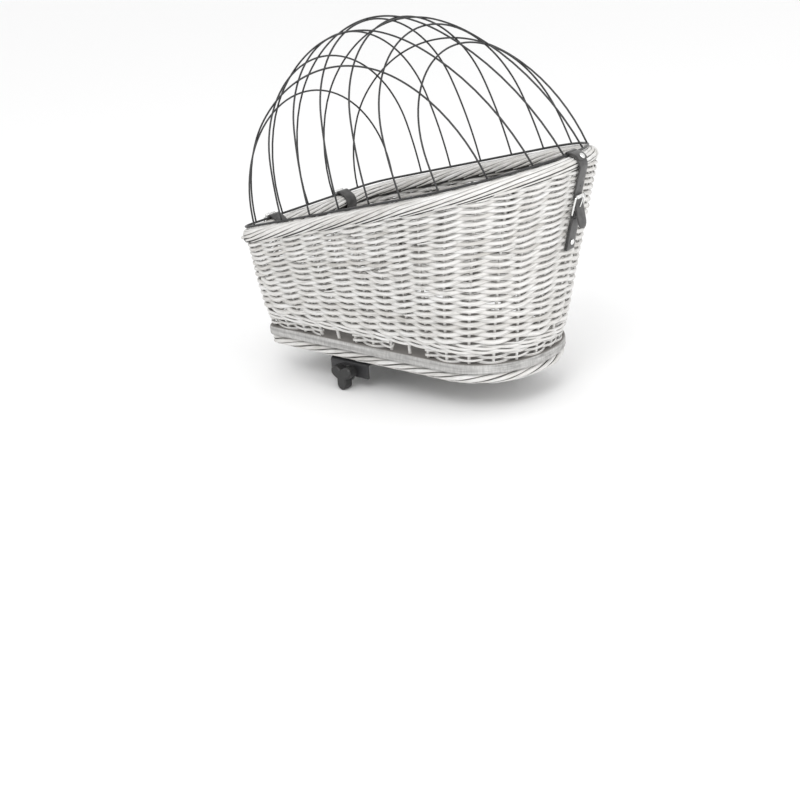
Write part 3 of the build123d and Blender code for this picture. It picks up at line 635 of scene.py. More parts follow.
def pair_rods():
    """The extra pairs, joined at both ends by a turn round a stake."""
    rods = []
    for k, after in enumerate(pair_after):
        first = math.ceil(pair_start[k] - 0.2)
        numbers = numbers_between(first, stake_count - first, steps_per_stake)
        count = len(numbers)
        sets = []
        for upper in (False, True):
            share, half = row_place(after + 1 + numbers / stake_count, numbers, k, upper)
            out = weave_swing * np.cos(math.pi * (numbers + after + (0 if upper else 1)))
            share = share + wander(count, pair_share_drift, 12)
            points, outward = wall_point(numbers, share, out)
            sets.append((points, np.maximum(rod_radii(half, count), thinnest_rod), outward, out))
        points, radii, outward, out = [np.concatenate([low, high[::-1]])
                                       for low, high in zip(*sets)]
        rods.append((points, radii, outward, rng.uniform(0.0, 1.0), out))
    return rods


add_woven("side_weave", spiral_rods() + pair_rods())

# %% [markdown]
# Between the board and the wall, four rows of thin rods laid in pairs run round the stakes. Two
# slots on each side are left open for fastening straps, so the rods turn back round the stake at a
# slot's edge. One rod therefore goes to and fro, climbing a row at each turn.

# %% Lower weave with its slots
lower_rows = 4
lower_pitch = (lower_weave_top - board_top) / lower_rows
lower_steps = 8
lower_swing = 0.0036
lower_radius = 0.00098
lower_half_gap = 0.00092
turn_reach = 0.0042
lower_drift = 0.0009
lower_lengths = {"lower_weave_front": (-6, 6), "lower_weave_right": (8, 10),
                 "lower_weave_rear": (12, 23), "lower_weave_left": (25, 27)}


def to_and_fro(first, last):
    """Stake numbers, rows and side of the wall along a rod that turns back at both ends."""
    parts = []
    turn = np.linspace(0, math.pi, 9)[1:-1]
    ahead = numbers_between(first, last, lower_steps)
    for row in range(lower_rows):
        way = 1 if row % 2 == 0 else -1
        run = ahead[::way]
        parts.append((run, np.full(len(run), float(row)), np.cos(math.pi * (run + row))))
        if row < lower_rows - 1:
            side = math.cos(math.pi * (run[-1] + row))
            parts.append((run[-1] + way * turn_reach / stake_pitch * np.sin(turn),
                          row + turn / math.pi, side * np.cos(turn)))
    return [np.concatenate(part) for part in zip(*parts)]


def rod_at(numbers, height, out, radius, drift, coarse):
    """A rod of even thickness at given heights in the wall."""
    share = share_at(numbers, height) + wander(len(numbers), drift, coarse)
    points, outward = wall_point(numbers, share, out)
    return points, radius, outward, rng.uniform(0.2, 1.0), out


def lower_rods(first, last):
    numbers, rows, sides = to_and_fro(first, last)
    middle = board_top + (rows + 0.5) * lower_pitch
    return [rod_at(numbers, middle + layer * lower_half_gap, sides * lower_swing, lower_radius,
                   lower_drift, 10) for layer in (-1, 1)]


for length_name, (first, last) in lower_lengths.items():
    add_woven(length_name, lower_rods(first, last))

# %% [markdown]
# Waling is the strong band above the slots. Three rods work together: each passes outside two
# stakes and inside one, and each starts one stake after the last, so the outside shows long
# overlapping strokes. A wave with a period of three stakes gives that path, and a second wave lifts
# each stroke over the end of the one before.

# %% Waling
waling_rows = 2
waling_radius = 0.0023
waling_stand, waling_swing = 0.0008, 0.0038
waling_climb = 0.27
waling_drift = 0.0012


def waling_rods():
    rods = []
    pitch = (waling_top - lower_weave_top) / waling_rows
    numbers = numbers_between(0, stake_count + 1, lower_steps)
    for row in range(waling_rows):
        for rod in range(3):
            stroke = 2 * math.pi * (numbers - rod - row) / 3
            out = waling_stand - waling_swing * np.cos(stroke)
            climb = waling_climb * np.sin(stroke - math.pi)
            height = lower_weave_top + (row + 0.5 + climb) * pitch
            rods.append(rod_at(numbers, height, out, waling_radius, waling_drift, 12))
    return rods


add_woven("waling", waling_rods())

# %% [markdown]
# Both borders are rolls of rods laid down one after another. Each starts inside, comes up over the
# top and runs a long way down the outside at a shallow angle, until the next ones cover its end.
# That is a helix round a ring, so each rod is placed by how far it has gone round the basket and by
# its angle round the roll. A plain core under them stops daylight from showing through.

# %% Rolled borders
roll_start = 215
foot_inset = 0.012
taper_sink = 0.0016
inner_taper, outer_taper, least_taper = 9, 3.2, 0.40
start_shift = 0.04
core_tone = 0.3


def roll_point(ring, numbers, angle, radius):
    """Points on a roll: angle 0 is outward, a quarter turn is up and a half turn is inward."""
    centre, up = ring(numbers)
    ahead = unit(ring(numbers + ahead_step)[0] - ring(numbers - ahead_step)[0])
    outward = unit(np.cross(up, ahead))
    radial = outward * np.cos(angle)[..., None] + up * np.sin(angle)[..., None]
    return centre + radial * np.asarray(radius)[..., None], radial


def top_ring(numbers):
    centre = on_rim(round_points(rim_pieces, numbers), border_drop)
    return centre, np.broadcast_to(rim_up, centre.shape)


def foot_ring(numbers):
    plan = round_points(d_pieces(board_dims, foot_inset), numbers)
    centre = on_board(plan, board_under - foot_roll / 2)
    return centre, np.broadcast_to(upward, centre.shape)


def border_rods(ring, roll, reach, turn_to, rod_radius):
    """Each stake gives one rod, which tapers at both ends, and more slowly at the outer one."""
    rods = []
    steps = 34
    along = np.linspace(0, 1, steps)
    angle = np.radians(roll_start + (turn_to - roll_start) * along)
    taper = np.minimum(along * inner_taper, (1 - along) * outer_taper)
    taper = np.clip(taper, least_taper, 1.0)
    for rod in range(stake_count):
        numbers = rod + rng.uniform(-start_shift, start_shift) + along * reach
        radii = rod_radius * taper * rng.uniform(0.88, 1.06)
        from_middle = roll / 2 - rod_radius + wander(steps, out_drift, 8) - taper_sink * (1 - taper)
        points, radial = roll_point(ring, numbers, angle, from_middle)
        rods.append((points, radii, radial, rng.uniform(0.1, 1.0)))
    return rods


def add_border(name, ring, roll, reach, turn_to, rod_radius, core_radius):
    centre, up = ring(np.linspace(0, stake_count, 281))
    # The core's side direction is up, so its sides and underside get painted shade.
    core = (centre, core_radius, up, core_tone)
    add_woven(name, border_rods(ring, roll, reach, turn_to, rod_radius) + [core])


add_border("top_border", top_ring, border_roll, reach=9.6, turn_to=-72, rod_radius=0.0030,
           core_radius=0.0094)
add_border("foot_border", foot_ring, foot_roll, reach=5.2, turn_to=-80, rod_radius=0.0036,
           core_radius=0.0062)

# %% [markdown]
# The board is a plain grey-washed plank whose sawn edge shows round the whole basket. Its shape is
# already right in the CAD model, so it only needs a finish: long grain with darker streaks on the
# top and bottom, and fine upright saw marks on the edge. Object coordinates put the grain along the
# board however the faces are cut. The top lies in the basket's shade, so it is darker.

# %% Sawn board finish
def sawn_board(name):
    finish = Finish(name, 0.75)
    place = finish.place()
    long_grain = finish.noise(place, 110.0, 5.0, (0.10, 0.35, 3.0))
    saw_marks = finish.noise(place, 420.0, 2.0, (0.8, 0.8, 0.25))
    colour = finish.ramp(long_grain, (0.28, (0.26, 0.255, 0.25)), (0.50, (0.44, 0.435, 0.425)),
                         (0.75, (0.58, 0.575, 0.565)))
    marks = finish.ramp(saw_marks, (0.35, (0.80, 0.80, 0.80)), (0.65, white))
    colour = finish.mix(1.0, colour, marks)
    height = finish.add("SeparateXYZ", {"Vector": place})["Z"]
    on_top = finish.add("MapRange", {"Value": height, "From Min": board_top - 0.0012,
                                     "From Max": board_top - 0.0002})["Result"]
    colour = finish.mix(on_top, colour, (0.17, 0.16, 0.15, 1), "MIX")
    finish.feed(finish.shader, {"Base Color": colour})
    finish.bump(saw_marks, 0.25, 0.0004)
    return finish.material


def finish_node(node_name, material):
    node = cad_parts[node_name]
    node.data.materials.clear()
    node.data.materials.append(material)


finish_node("base_board", sawn_board("sawn_board"))

# %% [markdown]
# Six more finishes come from one recipe: coated wire, powder-coated steel, bright plate, zinc
# plate, moulded plastic and the painted shade of a punched hole. Each gets a little unevenness in
# its roughness, because no real coating is perfectly even, and that is what makes a highlight look
# like metal or plastic.

# %% Metal and plastic finishes
def coated(name, colour, roughness, metallic, speck, bump, scale=900.0):
    finish = Finish(name, roughness)
    place = finish.place()
    fine = finish.noise(place, scale)
    tint = finish.ramp(fine, (0.3, tuple(v * (1 - speck) for v in colour)),
                       (0.7, tuple(min(1.0, v * (1 + speck)) for v in colour)))
    rough = finish.add("MapRange", {"Value": finish.noise(place, 60.0, 2.0),
                                    "To Min": roughness - 0.06, "To Max": roughness + 0.08})
    finish.feed(finish.shader, {"Base Color": tint, "Roughness": rough["Result"],
                               "Metallic": metallic})
    finish.bump(fine, bump, 0.0002)
    return finish.material


lid_coat = coated("lid_wire_coat", (0.022, 0.022, 0.023), 0.38, 0.0, 0.15, 0.12)
powder_coat = coated("powder_coat", (0.030, 0.030, 0.032), 0.48, 0.0, 0.25, 0.5, 1600.0)
bright_plate = coated("bright_plate", (0.82, 0.82, 0.81), 0.20, 1.0, 0.05, 0.05)
zinc_plate = coated("zinc_plate", (0.62, 0.62, 0.60), 0.36, 1.0, 0.12, 0.2)
knob_plastic = coated("knob_plastic", (0.022, 0.022, 0.022), 0.42, 0.0, 0.2, 0.35, 1400.0)
# A near-black finish that paints the shade inside a punched hole.
hole_shade = coated("punched_hole_shade", (0.006, 0.006, 0.006), 0.8, 0.0, 0.1, 0.1)
finish_node("bracket", powder_coat)
finish_node("clamp_knob", knob_plastic)
for node_name in ("spacers", "board_bolts", "board_nuts", "clamp_bolt", "clamp_washers"):
    finish_node(node_name, zinc_plate)
print("materials in the file:", len(bpy.data.materials))

# %% [markdown]
# The lid is a dome of welded wire. Seven arches cross the basket, and five wires run lengthwise
# over them, down to a base wire that lies on the border. Each arch is two flat haunch arcs and a
# round crown that meet smoothly. The wires are drawn as round tubes over the CAD model's six-sided
# ones.

# %% Cross arches
first_arch = 0.0415
arch_pitch = 0.0626
arch_heights = (0.1725, 0.2175, 0.2435, 0.2515, 0.2435, 0.2220, 0.1850)
arch_leans = (4.5, 1.0, -0.1, -1.4, -3.0, -6.6, -10.8)
haunch_radius = 0.550
wire_sides = 10


def add_wires(name, paths, diameter, side, nodes):
    rods = [(path, diameter / 2, side, plain_tone) for path in paths]
    settle(tube_mesh(name + "_visual", rods, wire_sides), lid_coat, "lid", "lid_wire", *nodes)


def rim_half_width(x):
    """Half the rim's width at a distance from its front."""
    _, width, flare, *_ = rim_dims
    (_, side_place), (_, shoulder_place) = rim_pieces[2:4]
    if x <= side_place(1.0)[0]:
        return width / 2 + x * math.tan(flare)
    points = shoulder_place(np.linspace(0, 1, 400))
    return float(np.interp(x, points[:, 0], points[:, 1]))


class ArchShape:
    """One cross arch, with its points and its height and slope at a distance from the middle."""

    def __init__(self, number):
        self.x = first_arch + arch_pitch * number
        self.lean = math.radians(arch_leans[number])
        height = arch_heights[number] / math.cos(self.lean)
        self.away = rim_half_width(self.x) - haunch_radius
        self.crown = ((self.away ** 2 + height ** 2 - haunch_radius ** 2)
                      / (2 * (height - haunch_radius)))
        self.middle = height - self.crown
        self.join = math.atan2(self.middle, -self.away)

    def points(self):
        low = np.linspace(0, self.join, 14)[:-1]
        high = np.linspace(self.join, math.pi - self.join, 44)
        first = [self.away, 0.0] + haunch_radius * heading(low)
        crown = [0.0, self.middle] + self.crown * heading(high)
        flat = np.vstack([first, crown, (first * [-1, 1])[::-1]])
        x = self.x + flat[:, 1] * math.sin(self.lean)
        return (rim_origin + x[:, None] * rim_along + flat[:, :1] * crosswise
                + flat[:, 1:] * math.cos(self.lean) * rim_up)

    def rise(self, y):
        side = abs(y)
        if side <= self.crown * math.cos(self.join):
            up = self.middle + math.sqrt(self.crown ** 2 - side ** 2)
            slope = side / (up - self.middle)
        else:
            up = math.sqrt(haunch_radius ** 2 - (side - self.away) ** 2)
            slope = (side - self.away) / up
        return self.x + up * math.sin(self.lean), up * math.cos(self.lean), slope


arches = [ArchShape(number) for number in range(len(arch_heights))]
add_wires("cross_arches", [arch.points() for arch in arches], dome_wire, rim_along,
          [f"cross_arch_{n + 1}" for n in range(len(arches))])

# %% [markdown]
# Each lengthwise wire is welded on top of every arch that it crosses. Points placed by eye could
# leave it hanging over one arch and buried in the next, so its points are worked out from the
# arches: one over each, lifted by the thickness of the wires less the depth of the weld. Where the
# curve is steep the lift is larger, because a slanted wire takes up more height.

# %% Long wires and base wire
long_wire_places = (-0.118, -0.059, 0.0, 0.059, 0.118)
weld_sink = 0.0008


def point_turns(points):
    """A direction at each point, weighed between the runs on both sides of it."""
    steps = np.diff(points, axis=0)
    angles = np.arctan2(steps[:, 1], steps[:, 0])
    lengths = np.linalg.norm(steps, axis=1)
    inner = (angles[:-1] * lengths[1:] + angles[1:] * lengths[:-1]) / (lengths[:-1] + lengths[1:])
    return np.concatenate([[2 * angles[0] - inner[0]], inner, [2 * angles[-1] - inner[-1]]])


def smooth_curve(points, turns, steps=9):
    """A curve through points with a given direction at each, by cubic pieces."""
    parts = []
    t = np.linspace(0, 1, steps)[:, None]
    for a, b, turn, after in zip(points, points[1:], turns, turns[1:]):
        pull = np.linalg.norm(b - a)
        u, w = heading(turn) * pull, heading(after) * pull
        part = ((2 * t ** 3 - 3 * t ** 2 + 1) * a + (t ** 3 - 2 * t ** 2 + t) * u
                + (-2 * t ** 3 + 3 * t ** 2) * b + (t ** 3 - t ** 2) * w)
        parts.append(part[:-1])
    return np.vstack(parts + [points[-1:]])


def rim_rear(y):
    """Where the round end stands at a distance from the middle."""
    points = np.vstack([place(np.linspace(0, 1, 600)) for _, place in rim_pieces[3:]])
    order = np.argsort(points[:, 1])
    return float(np.interp(abs(y), points[order, 1], points[order, 0]))


def long_wire(y):
    """A lengthwise wire, lifted over each arch that it crosses and is welded to."""
    crossings = [arch.rise(y) for arch in arches]
    points = np.array([(0.0, 0.0)] + [(x, up) for x, up, _ in crossings] + [(rim_rear(y), 0.0)])
    turns = point_turns(points)
    for index, (x, up, slope) in enumerate(crossings, start=1):
        lift = (dome_wire - weld_sink) * math.sqrt(1 + slope ** 2 + math.tan(turns[index]) ** 2)
        points[index] = (x, up + lift)
    flat = smooth_curve(points, point_turns(points))
    return rim_origin + flat[:, :1] * rim_along + crosswise * y + flat[:, 1:] * rim_up


add_wires("long_wires", [long_wire(y) for y in long_wire_places], dome_wire, crosswise,
          [f"long_wire_{n + 1}" for n in range(len(long_wire_places))])
ring_plan = round_points(rim_pieces, np.linspace(0, stake_count, 421))
add_wires("base_wire", [on_rim(ring_plan, 0.0)], base_wire, rim_up, ["lid_base_wire"])

# %% [markdown]
# The straps are black leather, whose grain is fine cells with shallow creases. A photographed
# texture would repeat along a strap, but a cell texture and a broad noise added together never do.
# A thin sheen keeps the black from looking like plastic.

# %% Leather finish
def grained_leather(name):
    finish = Finish(name, 0.50)
    place = finish.place()
    cells = finish.add("TexVoronoi", {"Scale": 900.0, "Vector": place})["Distance"]
    creases = finish.noise(place, 120.0, 4.0)
    colour = finish.ramp(creases, (0.35, (0.020, 0.019, 0.019)), (0.70, (0.060, 0.058, 0.057)))
    finish.feed(finish.shader, {"Base Color": colour, "Sheen Weight": 0.25})
    finish.bump(finish.add("Math", {0: cells, 1: creases}, operation="ADD")["Value"], 0.35, 0.0003)
    return finish.material


leather = grained_leather("grained_leather")
print("finish:", leather.name)

# %% [markdown]
# Seen from the side, a taut strap is straight runs that touch the things it goes round: the border,
# the wire and the buckle's bar and roller. Points set by hand would bulge or cut into them. So a
# line is worked out as a belt over pulleys is: each round thing is a circle, and the runs are the
# tangents between them.

# %% Strap lines
def steps_between(a, b, step):
    """Points from a toward b, without b itself."""
    count = max(2, int(np.linalg.norm(b - a) / step))
    return a + (b - a) * np.linspace(0, 1, count)[:-1, None]


def strap_line(stations, step=0.0015):
    """Side-view points of a strap laid round circles. A station is (x, y, reach): the reach is
    positive where the circle lies to the strap's left, and negative to its right."""
    turns = []
    for (ax, ay, ar), (bx, by, br) in zip(stations, stations[1:]):
        distance = math.hypot(bx - ax, by - ay)
        turns.append(math.atan2(by - ay, bx - ax) + math.acos((br - ar) / distance))
    parts = []
    for index, turn in enumerate(turns):
        start, end = [middle - heading(turn) * reach
                      for *middle, reach in stations[index:index + 2]]
        parts.append(steps_between(start, end, step))
        if index + 1 < len(turns):
            x, y, reach = stations[index + 1]
            swing = turns[index + 1] - turn
            swing = swing % (2 * math.pi) if reach > 0 else -(-swing % (2 * math.pi))
            count = max(3, int(abs(swing * reach) / step))
            angles = turn + np.linspace(0, swing, count)[:-1]
            parts.append([x, y] - heading(angles) * reach)
    return np.vstack(parts + [end[None]])


def polar(middle, radius, degrees):
    return np.array(middle) + radius * heading(np.radians(degrees))


def ring_line(middle, radius, start, swing, count=26):
    return polar(middle, radius, start + np.linspace(0, swing, count))


def past_ring(line, middle, reach):
    """A line from where it has first left a circle."""
    return line[int(np.argmax(np.linalg.norm(line - middle, axis=1) > reach)):]


bent = strap_line([(-0.03, 0, 0), (0, 0, 0.01), (0.03, 0, 0)])
print("a strap bent over a ring of 10 mm:", len(bent), "points,",
      round(gone_along(bent)[-1] * 1000, 1), "mm long")

# %% [markdown]
# The straps are cut from one hide, so each is a ribbon of even width and thickness with slightly
# rounded edges. A Blender curve with a flat profile could draw one, but it twists at tight bends
# and its end can't be rounded. So a section of twelve points is carried along the line, and it
# narrows at a rounded tip. The plane that it is drawn in stands upright, square to the wall.

# %% Ribbons
strap_width = 0.022
strap_thickness = 0.0025
half_strap = strap_thickness / 2
edge_round = strap_thickness * 0.32
edge_corner = ((0.0, 0.22), (edge_round * 0.5, 0.42), (edge_round * 1.8, 0.5))
ribbon_section = [(side, inset, flip * lift)
                  for side, flip, order in ((-1, -1, 1), (1, -1, -1), (1, 1, 1), (-1, 1, -1))
                  for inset, lift in edge_corner[::order]]
least_half = 0.0002


class SidePlane:
    """The upright plane a strap is drawn in: x outward, y up, and z across the strap."""

    def __init__(self, origin, outward):
        self.origin = np.array(origin, float)
        self.x = unit(np.array(outward, float))
        self.y = upward
        self.z = np.cross(self.x, self.y)

    def at(self, points, z=0.0):
        points = np.atleast_2d(points)
        return (self.origin + points[:, :1] * self.x + points[:, 1:2] * self.y
                + np.reshape(z, (-1, 1)) * self.z)


def add_strap(name, plane, lines, body, *nodes):
    """Ribbons from side-view lines: (points, width, middle z, whether the far end is round)."""
    verts, faces = [], []
    sides = len(ribbon_section)
    for points, width, middle, rounded in lines:
        tangent = unit(np.gradient(points, axis=0))
        normal = left_of(tangent)
        half = np.full(len(points), width / 2)
        if rounded:
            gone = gone_along(points)
            close = np.clip(gone[-1] - gone, 0, width / 2)
            half = np.minimum(half, np.sqrt(np.maximum(close * (width - close), hair)))
        rings = [plane.at(points + normal * lift * strap_thickness,
                          middle + side * np.maximum(half - inset, least_half))
                 for side, inset, lift in ribbon_section]
        faces += ring_faces(len(points), sides, sum(map(len, verts)))
        verts.append(np.stack(rings, 1).reshape(-1, 3))
    settle(new_piece(name + "_visual", verts, faces), leather, body, "leather", *nodes)


print("a ribbon's section has", len(ribbon_section), "points")


# %% [markdown]
# A roller buckle is a frame bent from wire, a tube that turns on its outer bar, and a prong whose
# eye goes round the inner bar and whose tip lies on the roller. The bars could be plain cylinders
# with joints at the corners, but a bright wire shows every seam. So the frame is one tube round a
# rounded rectangle, and the other two are tubes of changing thickness. The three are pieces by
# themselves, so that the roller and the prong can move.

# %% Buckles
strap_gap = 0.0005
roller_radius = 0.003
roller_bore = 0.0019
roller_edge = 0.0004
bar_radius = 0.0015
buckle_corner = 0.0035
strap_play = 0.0008
buckle_half_width = strap_width / 2 + strap_play + bar_radius
prong_radius = 0.0011
prong_gap = 0.0003
prong_past_tip = 0.002
prong_start = 0.0028
prong_bow = 0.0009
eye_gap = 0.0001
tiny = 0.00002
round_sides = 28
frame_step = 0.002
fold_reach = bar_radius + strap_gap + half_strap
past_roller = roller_radius + strap_gap + half_strap
past_fold = bar_radius + 2 * strap_gap + strap_thickness + half_strap
border_side = border_drop * math.sin(rim_slope)
border_below = border_drop * math.cos(rim_slope)
eye_from, eye_swing = 150, -330


def bearing(vector):
    return math.degrees(math.atan2(vector[1], vector[0]))


def add_steel(name, rods, sides, body, node):
    settle(tube_mesh(name + "_visual", rods, sides), bright_plate, body, "bright_steel", node)


def frame_line(length):
    """A rounded rectangle, one long side on the bar, as points across and away from the bar."""
    half, corner = buckle_half_width, buckle_corner
    corners = ((half - corner, corner, -90), (half - corner, length - corner, 0),
               (corner - half, length - corner, 90), (corner - half, corner, 180))
    flat = np.vstack([ring_line((x, y), corner, start, 90, 8) for x, y, start in corners])
    flat = np.vstack([flat, flat[:2]])
    dense = [flat[:1]]
    for a, b in zip(flat, flat[1:]):
        steps = max(1, int(np.linalg.norm(b - a) / frame_step))
        dense.append(a + (b - a) * np.arange(1, steps + 1)[:, None] / steps)
    return np.vstack(dense)


def buckle_pieces(name, plane, bar, roller, bodies, nodes):
    """The frame, roller and prong of one buckle, each a piece of its own body. The lean returned
    is the angle from the bar to the roller."""
    length = np.linalg.norm(roller - bar)
    toward = (roller - bar) / length
    lean = bearing(toward)

    line = frame_line(length)
    face = np.cross(plane.z, toward[0] * plane.x + toward[1] * plane.y)
    frame_points = plane.at(bar + line[:, 1:] * toward, line[:, :1])

    reach = buckle_half_width - buckle_corner - prong_gap
    profile = np.array([(-reach, roller_bore), (tiny - reach, roller_radius - roller_edge),
                        (roller_edge - reach, roller_radius), (reach - roller_edge, roller_radius),
                        (reach - tiny, roller_radius - roller_edge), (reach, roller_bore)])
    roller_points = plane.at(roller)[0] + profile[:, :1] * plane.z

    arm = polar(roller, roller_radius + prong_gap + prong_radius, lean - 90) - bar
    way = arm / np.linalg.norm(arm)
    shares = np.linspace(0, 1, 18)[:, None]
    gone = prong_start + (np.linalg.norm(arm) + prong_past_tip - prong_start) * shares
    bow = prong_bow * np.sin(math.pi * shares) * -left_of(way)
    radii = prong_radius * np.clip(1.05 - 0.35 * shares[:, 0] ** 3, 0.3, 1.0)
    eye = ring_line(bar, bar_radius + eye_gap + prong_radius * 0.8, bearing(arm) + eye_from,
                    eye_swing)

    pieces = (("_frame", [(frame_points, bar_radius, face, plain_tone)], 12),
              ("_roller", [(roller_points, profile[:, 1], plane.x, plain_tone)], round_sides),
              ("_prong", [(plane.at(eye), prong_radius * 0.75, plane.z, plain_tone),
                          (plane.at(bar + gone * way + bow), radii, plane.z, plain_tone)], 10))
    for (part, rods, sides), body, node in zip(pieces, bodies, nodes):
        add_steel(name + part, rods, sides, body, node)
    return lean


print("a buckle's side wires stand", round(2 * buckle_half_width * 1000, 1), "mm apart")


# %% [markdown]
# The holes for the prong are punched through the strap. They could be cut from the ribbon, but that
# leaves ragged faces, and so small a hole only shows as a dark dot. So each is a short disc of
# painted shade, near black, just proud of the outer face. Where a strap folds round the bar it is
# slit to let the prong through, so the fold is two narrower ribbons.

# %% Holes and folds
hole_radius = 0.0012
hole_depth = 0.0004
hole_proud = 0.00004
prong_slot = 0.0034
fold_width = (strap_width - prong_slot) / 2


def add_holes(name, plane, line, places, body):
    """Discs at some distances along a strap's line."""
    gone = gone_along(line)
    normal = left_of(unit(np.gradient(line, axis=0)))
    rods = []
    for place in places:
        k = int(np.argmin(np.abs(gone - place)))
        ends = [line[k] + normal[k] * (half_strap + lift) for lift in (-hole_depth, hole_proud)]
        rods.append((plane.at(ends), hole_radius, plane.z, plain_tone))
    settle(tube_mesh(name, rods, 12), hole_shade, body, "leather")


def split_fold(line):
    """The two halves of a folded strap end, on each side of the prong."""
    return [(line, fold_width, side * (strap_width - fold_width) / 2, False) for side in (-1, 1)]


print("each half of a fold is", round(fold_width * 1000, 1), "mm wide")


# %% [markdown]
# Two straps tie the lid's front wire to the border, so the wire can turn in them as a hinge. Each
# starts at the buckle's bar, goes round the border and up over the wire, passes behind the roller
# and hangs out over its own fold. The two are alike, so one loop makes both, and the side view is
# drawn about the lid's wire, because that is where the hinge turns.

# %% Hinge straps
hinge_reach = 0.0213
hinge_bar_angle, hinge_roller_angle = -33, 52
hinge_tongue = 0.015
hinge_holes = (0.074, 0.083)
hinge_fold_past, hinge_fold_swing = 8, -345
roll_reach = border_roll / 2 + strap_gap + half_strap
wire_reach = base_wire / 2 + strap_gap + half_strap
for side, strap_y in (("left", -0.077), ("right", 0.082)):
    plane = SidePlane((rim_front, strap_y, rim_height), (-1.0, 0.0, 0.0))
    roll_middle = (-border_side, -border_below)
    bar = polar(roll_middle, hinge_reach, hinge_bar_angle)
    roller = polar(roll_middle, hinge_reach, hinge_roller_angle)
    moving = (f"hinge_roller_{side}", f"hinge_prong_{side}")
    lean = buckle_pieces(f"hinge_{side}", plane, bar, roller, ("basket", *moving),
                         (f"hinge_buckle_{side}", *moving))
    end = polar(polar(bar, hinge_tongue, lean - 180), past_fold, lean - 90)
    route = [(*bar, 0), (*roll_middle, -roll_reach), (0, 0, -wire_reach), (*bar, -past_fold),
             (*end, 0)]
    line = past_ring(strap_line(route), bar, fold_reach)
    fold = ring_line(bar, fold_reach, bearing(line[0] - bar) + hinge_fold_past, hinge_fold_swing)
    add_strap(f"hinge_strap_{side}", plane, [(line, strap_width, 0.0, True)] + split_fold(fold),
              "basket", f"hinge_strap_{side}")
    add_holes(f"hinge_strap_{side}_holes", plane, line, hinge_holes, "basket")

# %% [markdown]
# The closure at the rear holds the lid shut. The upper strap is doubled over the lid's wire and
# riveted to itself, hangs down outside the border, goes behind the buckle's roller and ends in a
# rounded tongue with spare holes. The lower strap folds round the buckle's bar and is riveted
# through the wall.

# %% Closure's upper strap
closure_side = 0.018
closure_turn = math.asin(closure_side / rim_dims[-1])
closure_wire = on_rim(np.array([[rim_rear(closure_side), closure_side]]), 0.0)[0]
closure_plane = SidePlane(closure_wire, (math.cos(closure_turn), math.sin(closure_turn), 0.0))
roll_middle = np.array([border_side * math.cos(closure_turn), -border_below])
bar, roller = np.array([0.004674, -0.086]), np.array([0.012199, -0.0595])
moving = ("closure_frame", "closure_roller", "closure_prong")
buckle_pieces("closure", closure_plane, bar, roller, moving, moving)
wire_gap, roll_gap = 0.0009, 0.00075
loop_reach = base_wire / 2 + wire_gap + half_strap
closure_reach = border_roll / 2 + roll_gap + half_strap
tongue_lean = 9.0
tongue_length = 0.047
closure_holes = (0.053, 0.086)
loop_from, loop_swing = 40, 330
fold_end = 30
end = polar(polar(roller, -past_roller, tongue_lean), tongue_length, tongue_lean - 90)
route = [(0, 0, 0), (*roll_middle, -closure_reach), (*roller, past_roller), (*end, 0)]
line = past_ring(strap_line(route), (0, 0), loop_reach)
loop = ring_line((0, 0), loop_reach, loop_from, loop_swing)
fold_from = bearing(-roll_middle)
fold = ring_line(roll_middle, closure_reach + strap_thickness, fold_from, fold_end - fold_from, 20)
upper = [(line, strap_width, 0.0, True), (loop, strap_width, 0.0, False),
         (fold, strap_width, 0.0, False)]
add_strap("closure_upper_strap", closure_plane, upper, "closure_strap", "closure_upper_strap")
add_holes("closure_strap_holes", closure_plane, line, closure_holes, "closure_strap")

# %% [markdown]
# The lower strap is doubled and lies flat on the wall, with the buckle's bar in its fold. Its place
# could be measured by eye, but it would then float or sink when the weave changes. The wall's own
# formula tells where its outer face is, at the height of the strap's bend, foot and rivet, and both
# layers run from the bar to the bend and down to the foot.

# %% Closure's lower strap
weave_stand = 0.0055
wall_gap = 0.0003
bend_height, foot_height, rivet_height = -0.110, -0.139, -0.127
band_start, band_step = 0.004, 0.002
lower_fold_past, lower_fold_swing = 25, 310


def wall_face(height):
    """How far the wall's outer face stands out from the wire, at a height below it."""
    numbers = np.linspace(16.0, 17.5, 61)
    share = share_at(numbers, closure_wire[2] + height)
    points, _ = wall_point(numbers, share, np.full(len(numbers), weave_stand))
    from_wire = points - closure_plane.origin
    across, stand = from_wire @ closure_plane.z, from_wire @ closure_plane.x
    order = np.argsort(across)
    return float(np.interp(0.0, across[order], stand[order]))


bend, foot = [np.array([wall_face(height) + wall_gap + strap_thickness, height])
              for height in (bend_height, foot_height)]
way = unit(bend - bar)
side_step = left_of(way) * half_strap
doubled = []
for side in (-1, 1):
    top, middle, low = [point + side * side_step for point in (bar + way * band_start, bend, foot)]
    line = np.vstack([steps_between(top, middle, band_step),
                      steps_between(middle, low, band_step), low])
    doubled.append((line, strap_width, 0.0, False))
fold = ring_line(bar, fold_reach, bearing(way) + lower_fold_past, lower_fold_swing)
add_strap("closure_lower_strap", closure_plane, doubled + split_fold(fold), "basket",
          "closure_lower_strap", "closure_fold_ends")
print("wall face under the closure, mm:", round(bend[0] * 1000, 2), round(foot[0] * 1000, 2))

# %% [markdown]
# The rivets are domed and bright, and they are the only light marks on the straps, so their shape
# matters. A rivet's head is a short stack of rings that narrows toward the top, which the same tube
# helper draws if its radii follow a quarter circle.

# %% Rivets
rivet_radius = 0.0045
rivet_rim = 0.0004
upper_rivet_angle = 45.0
rivet_inside = 0.0113


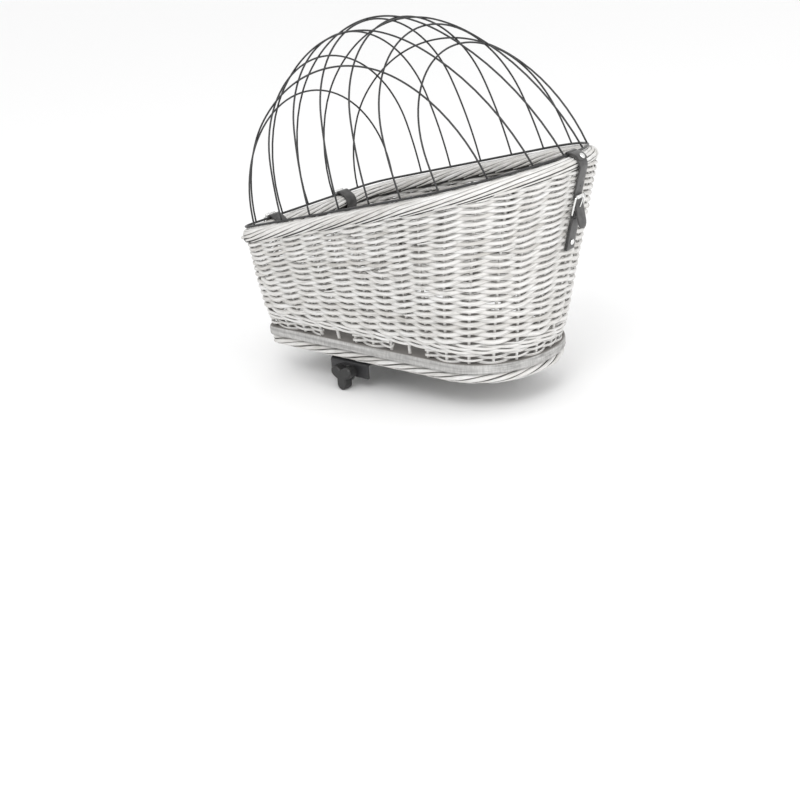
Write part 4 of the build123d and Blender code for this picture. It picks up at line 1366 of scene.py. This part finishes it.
def rivet_rod(foot_point, axis, height=0.0022):
    turn = np.linspace(0, math.pi / 2 - 0.05, 9)
    axis = unit(axis)
    heights = np.concatenate([[0.0], rivet_rim + height * np.sin(turn)])
    radii = rivet_radius * np.concatenate([[0.98], np.cos(turn) ** 0.8])
    return foot_point + axis * heights[:, None], radii, np.cross(axis, [0.3, 0.2, 0.9]), plain_tone


head_at, shaft_at = [
    closure_plane.at(polar(roll_middle, closure_reach + depth, upper_rivet_angle))[0]
    for depth in (strap_thickness * 1.5, 0.0)]
add_steel("closure_upper_rivet", [rivet_rod(head_at, head_at - shaft_at)], round_sides,
          "closure_strap", "closure_upper_rivet")
tilt = math.atan((bend[0] - foot[0]) / (bend_height - foot_height))
out_axis = closure_plane.x * math.cos(tilt) - closure_plane.y * math.sin(tilt)
on_wall = closure_plane.at((wall_face(rivet_height), rivet_height))[0]
add_steel("closure_lower_rivet",
          [rivet_rod(on_wall + out_axis * (wall_gap + 2 * strap_thickness), out_axis),
           rivet_rod(on_wall - out_axis * rivet_inside, -out_axis, 0.0012)], round_sides,
          "basket", "closure_lower_rivet")

# %% [markdown]
# The basket stands over a plain pale floor that just clears its lowest point, and the light is that
# of a white studio: a bright even surround, a large soft lamp high on the left, and a weaker one
# behind. The pale surround keeps the white willow white, and the lamp's direction leaves the inside
# of the far wall in shade, as in the picture.

# %% Floor and light
floor_half = 6.0
floor_gap = 0.0005
lamp_target = Vector((0.0, 0.0, 0.2))
lamp_size = 1.6


def add_floor():
    level = cad_box[0][2] - floor_gap
    corners = [(x * floor_half, y * floor_half, level)
               for x, y in ((-1, -1), (1, -1), (1, 1), (-1, 1))]
    floor = new_piece("floor", [corners], [(0, 1, 2, 3)])
    floor.data.materials.append(floor_finish.material)
    print("floor at", round(level * 1000, 1), "mm")


def add_lamp(name, place, power):
    data = bpy.data.lights.new(name, "AREA")
    data.size = lamp_size
    data.energy = power
    lamp = add_object(name, data)
    lamp.location = place
    lamp.rotation_euler = (lamp_target - Vector(place)).to_track_quat("-Z", "Y").to_euler()


add_floor()
add_lamp("key", (1.3, -2.5, 2.8), 38.0)
add_lamp("rear", (3.2, -0.4, 1.6), 24.0)
world = bpy.data.worlds.new("studio")
bpy.context.scene.world = world
world.use_nodes = True
surround = world.node_tree.nodes["Background"].inputs
surround["Color"].default_value = (*white, 1)
surround["Strength"].default_value = 1.0
bpy.context.scene.view_settings.view_transform = "Standard"
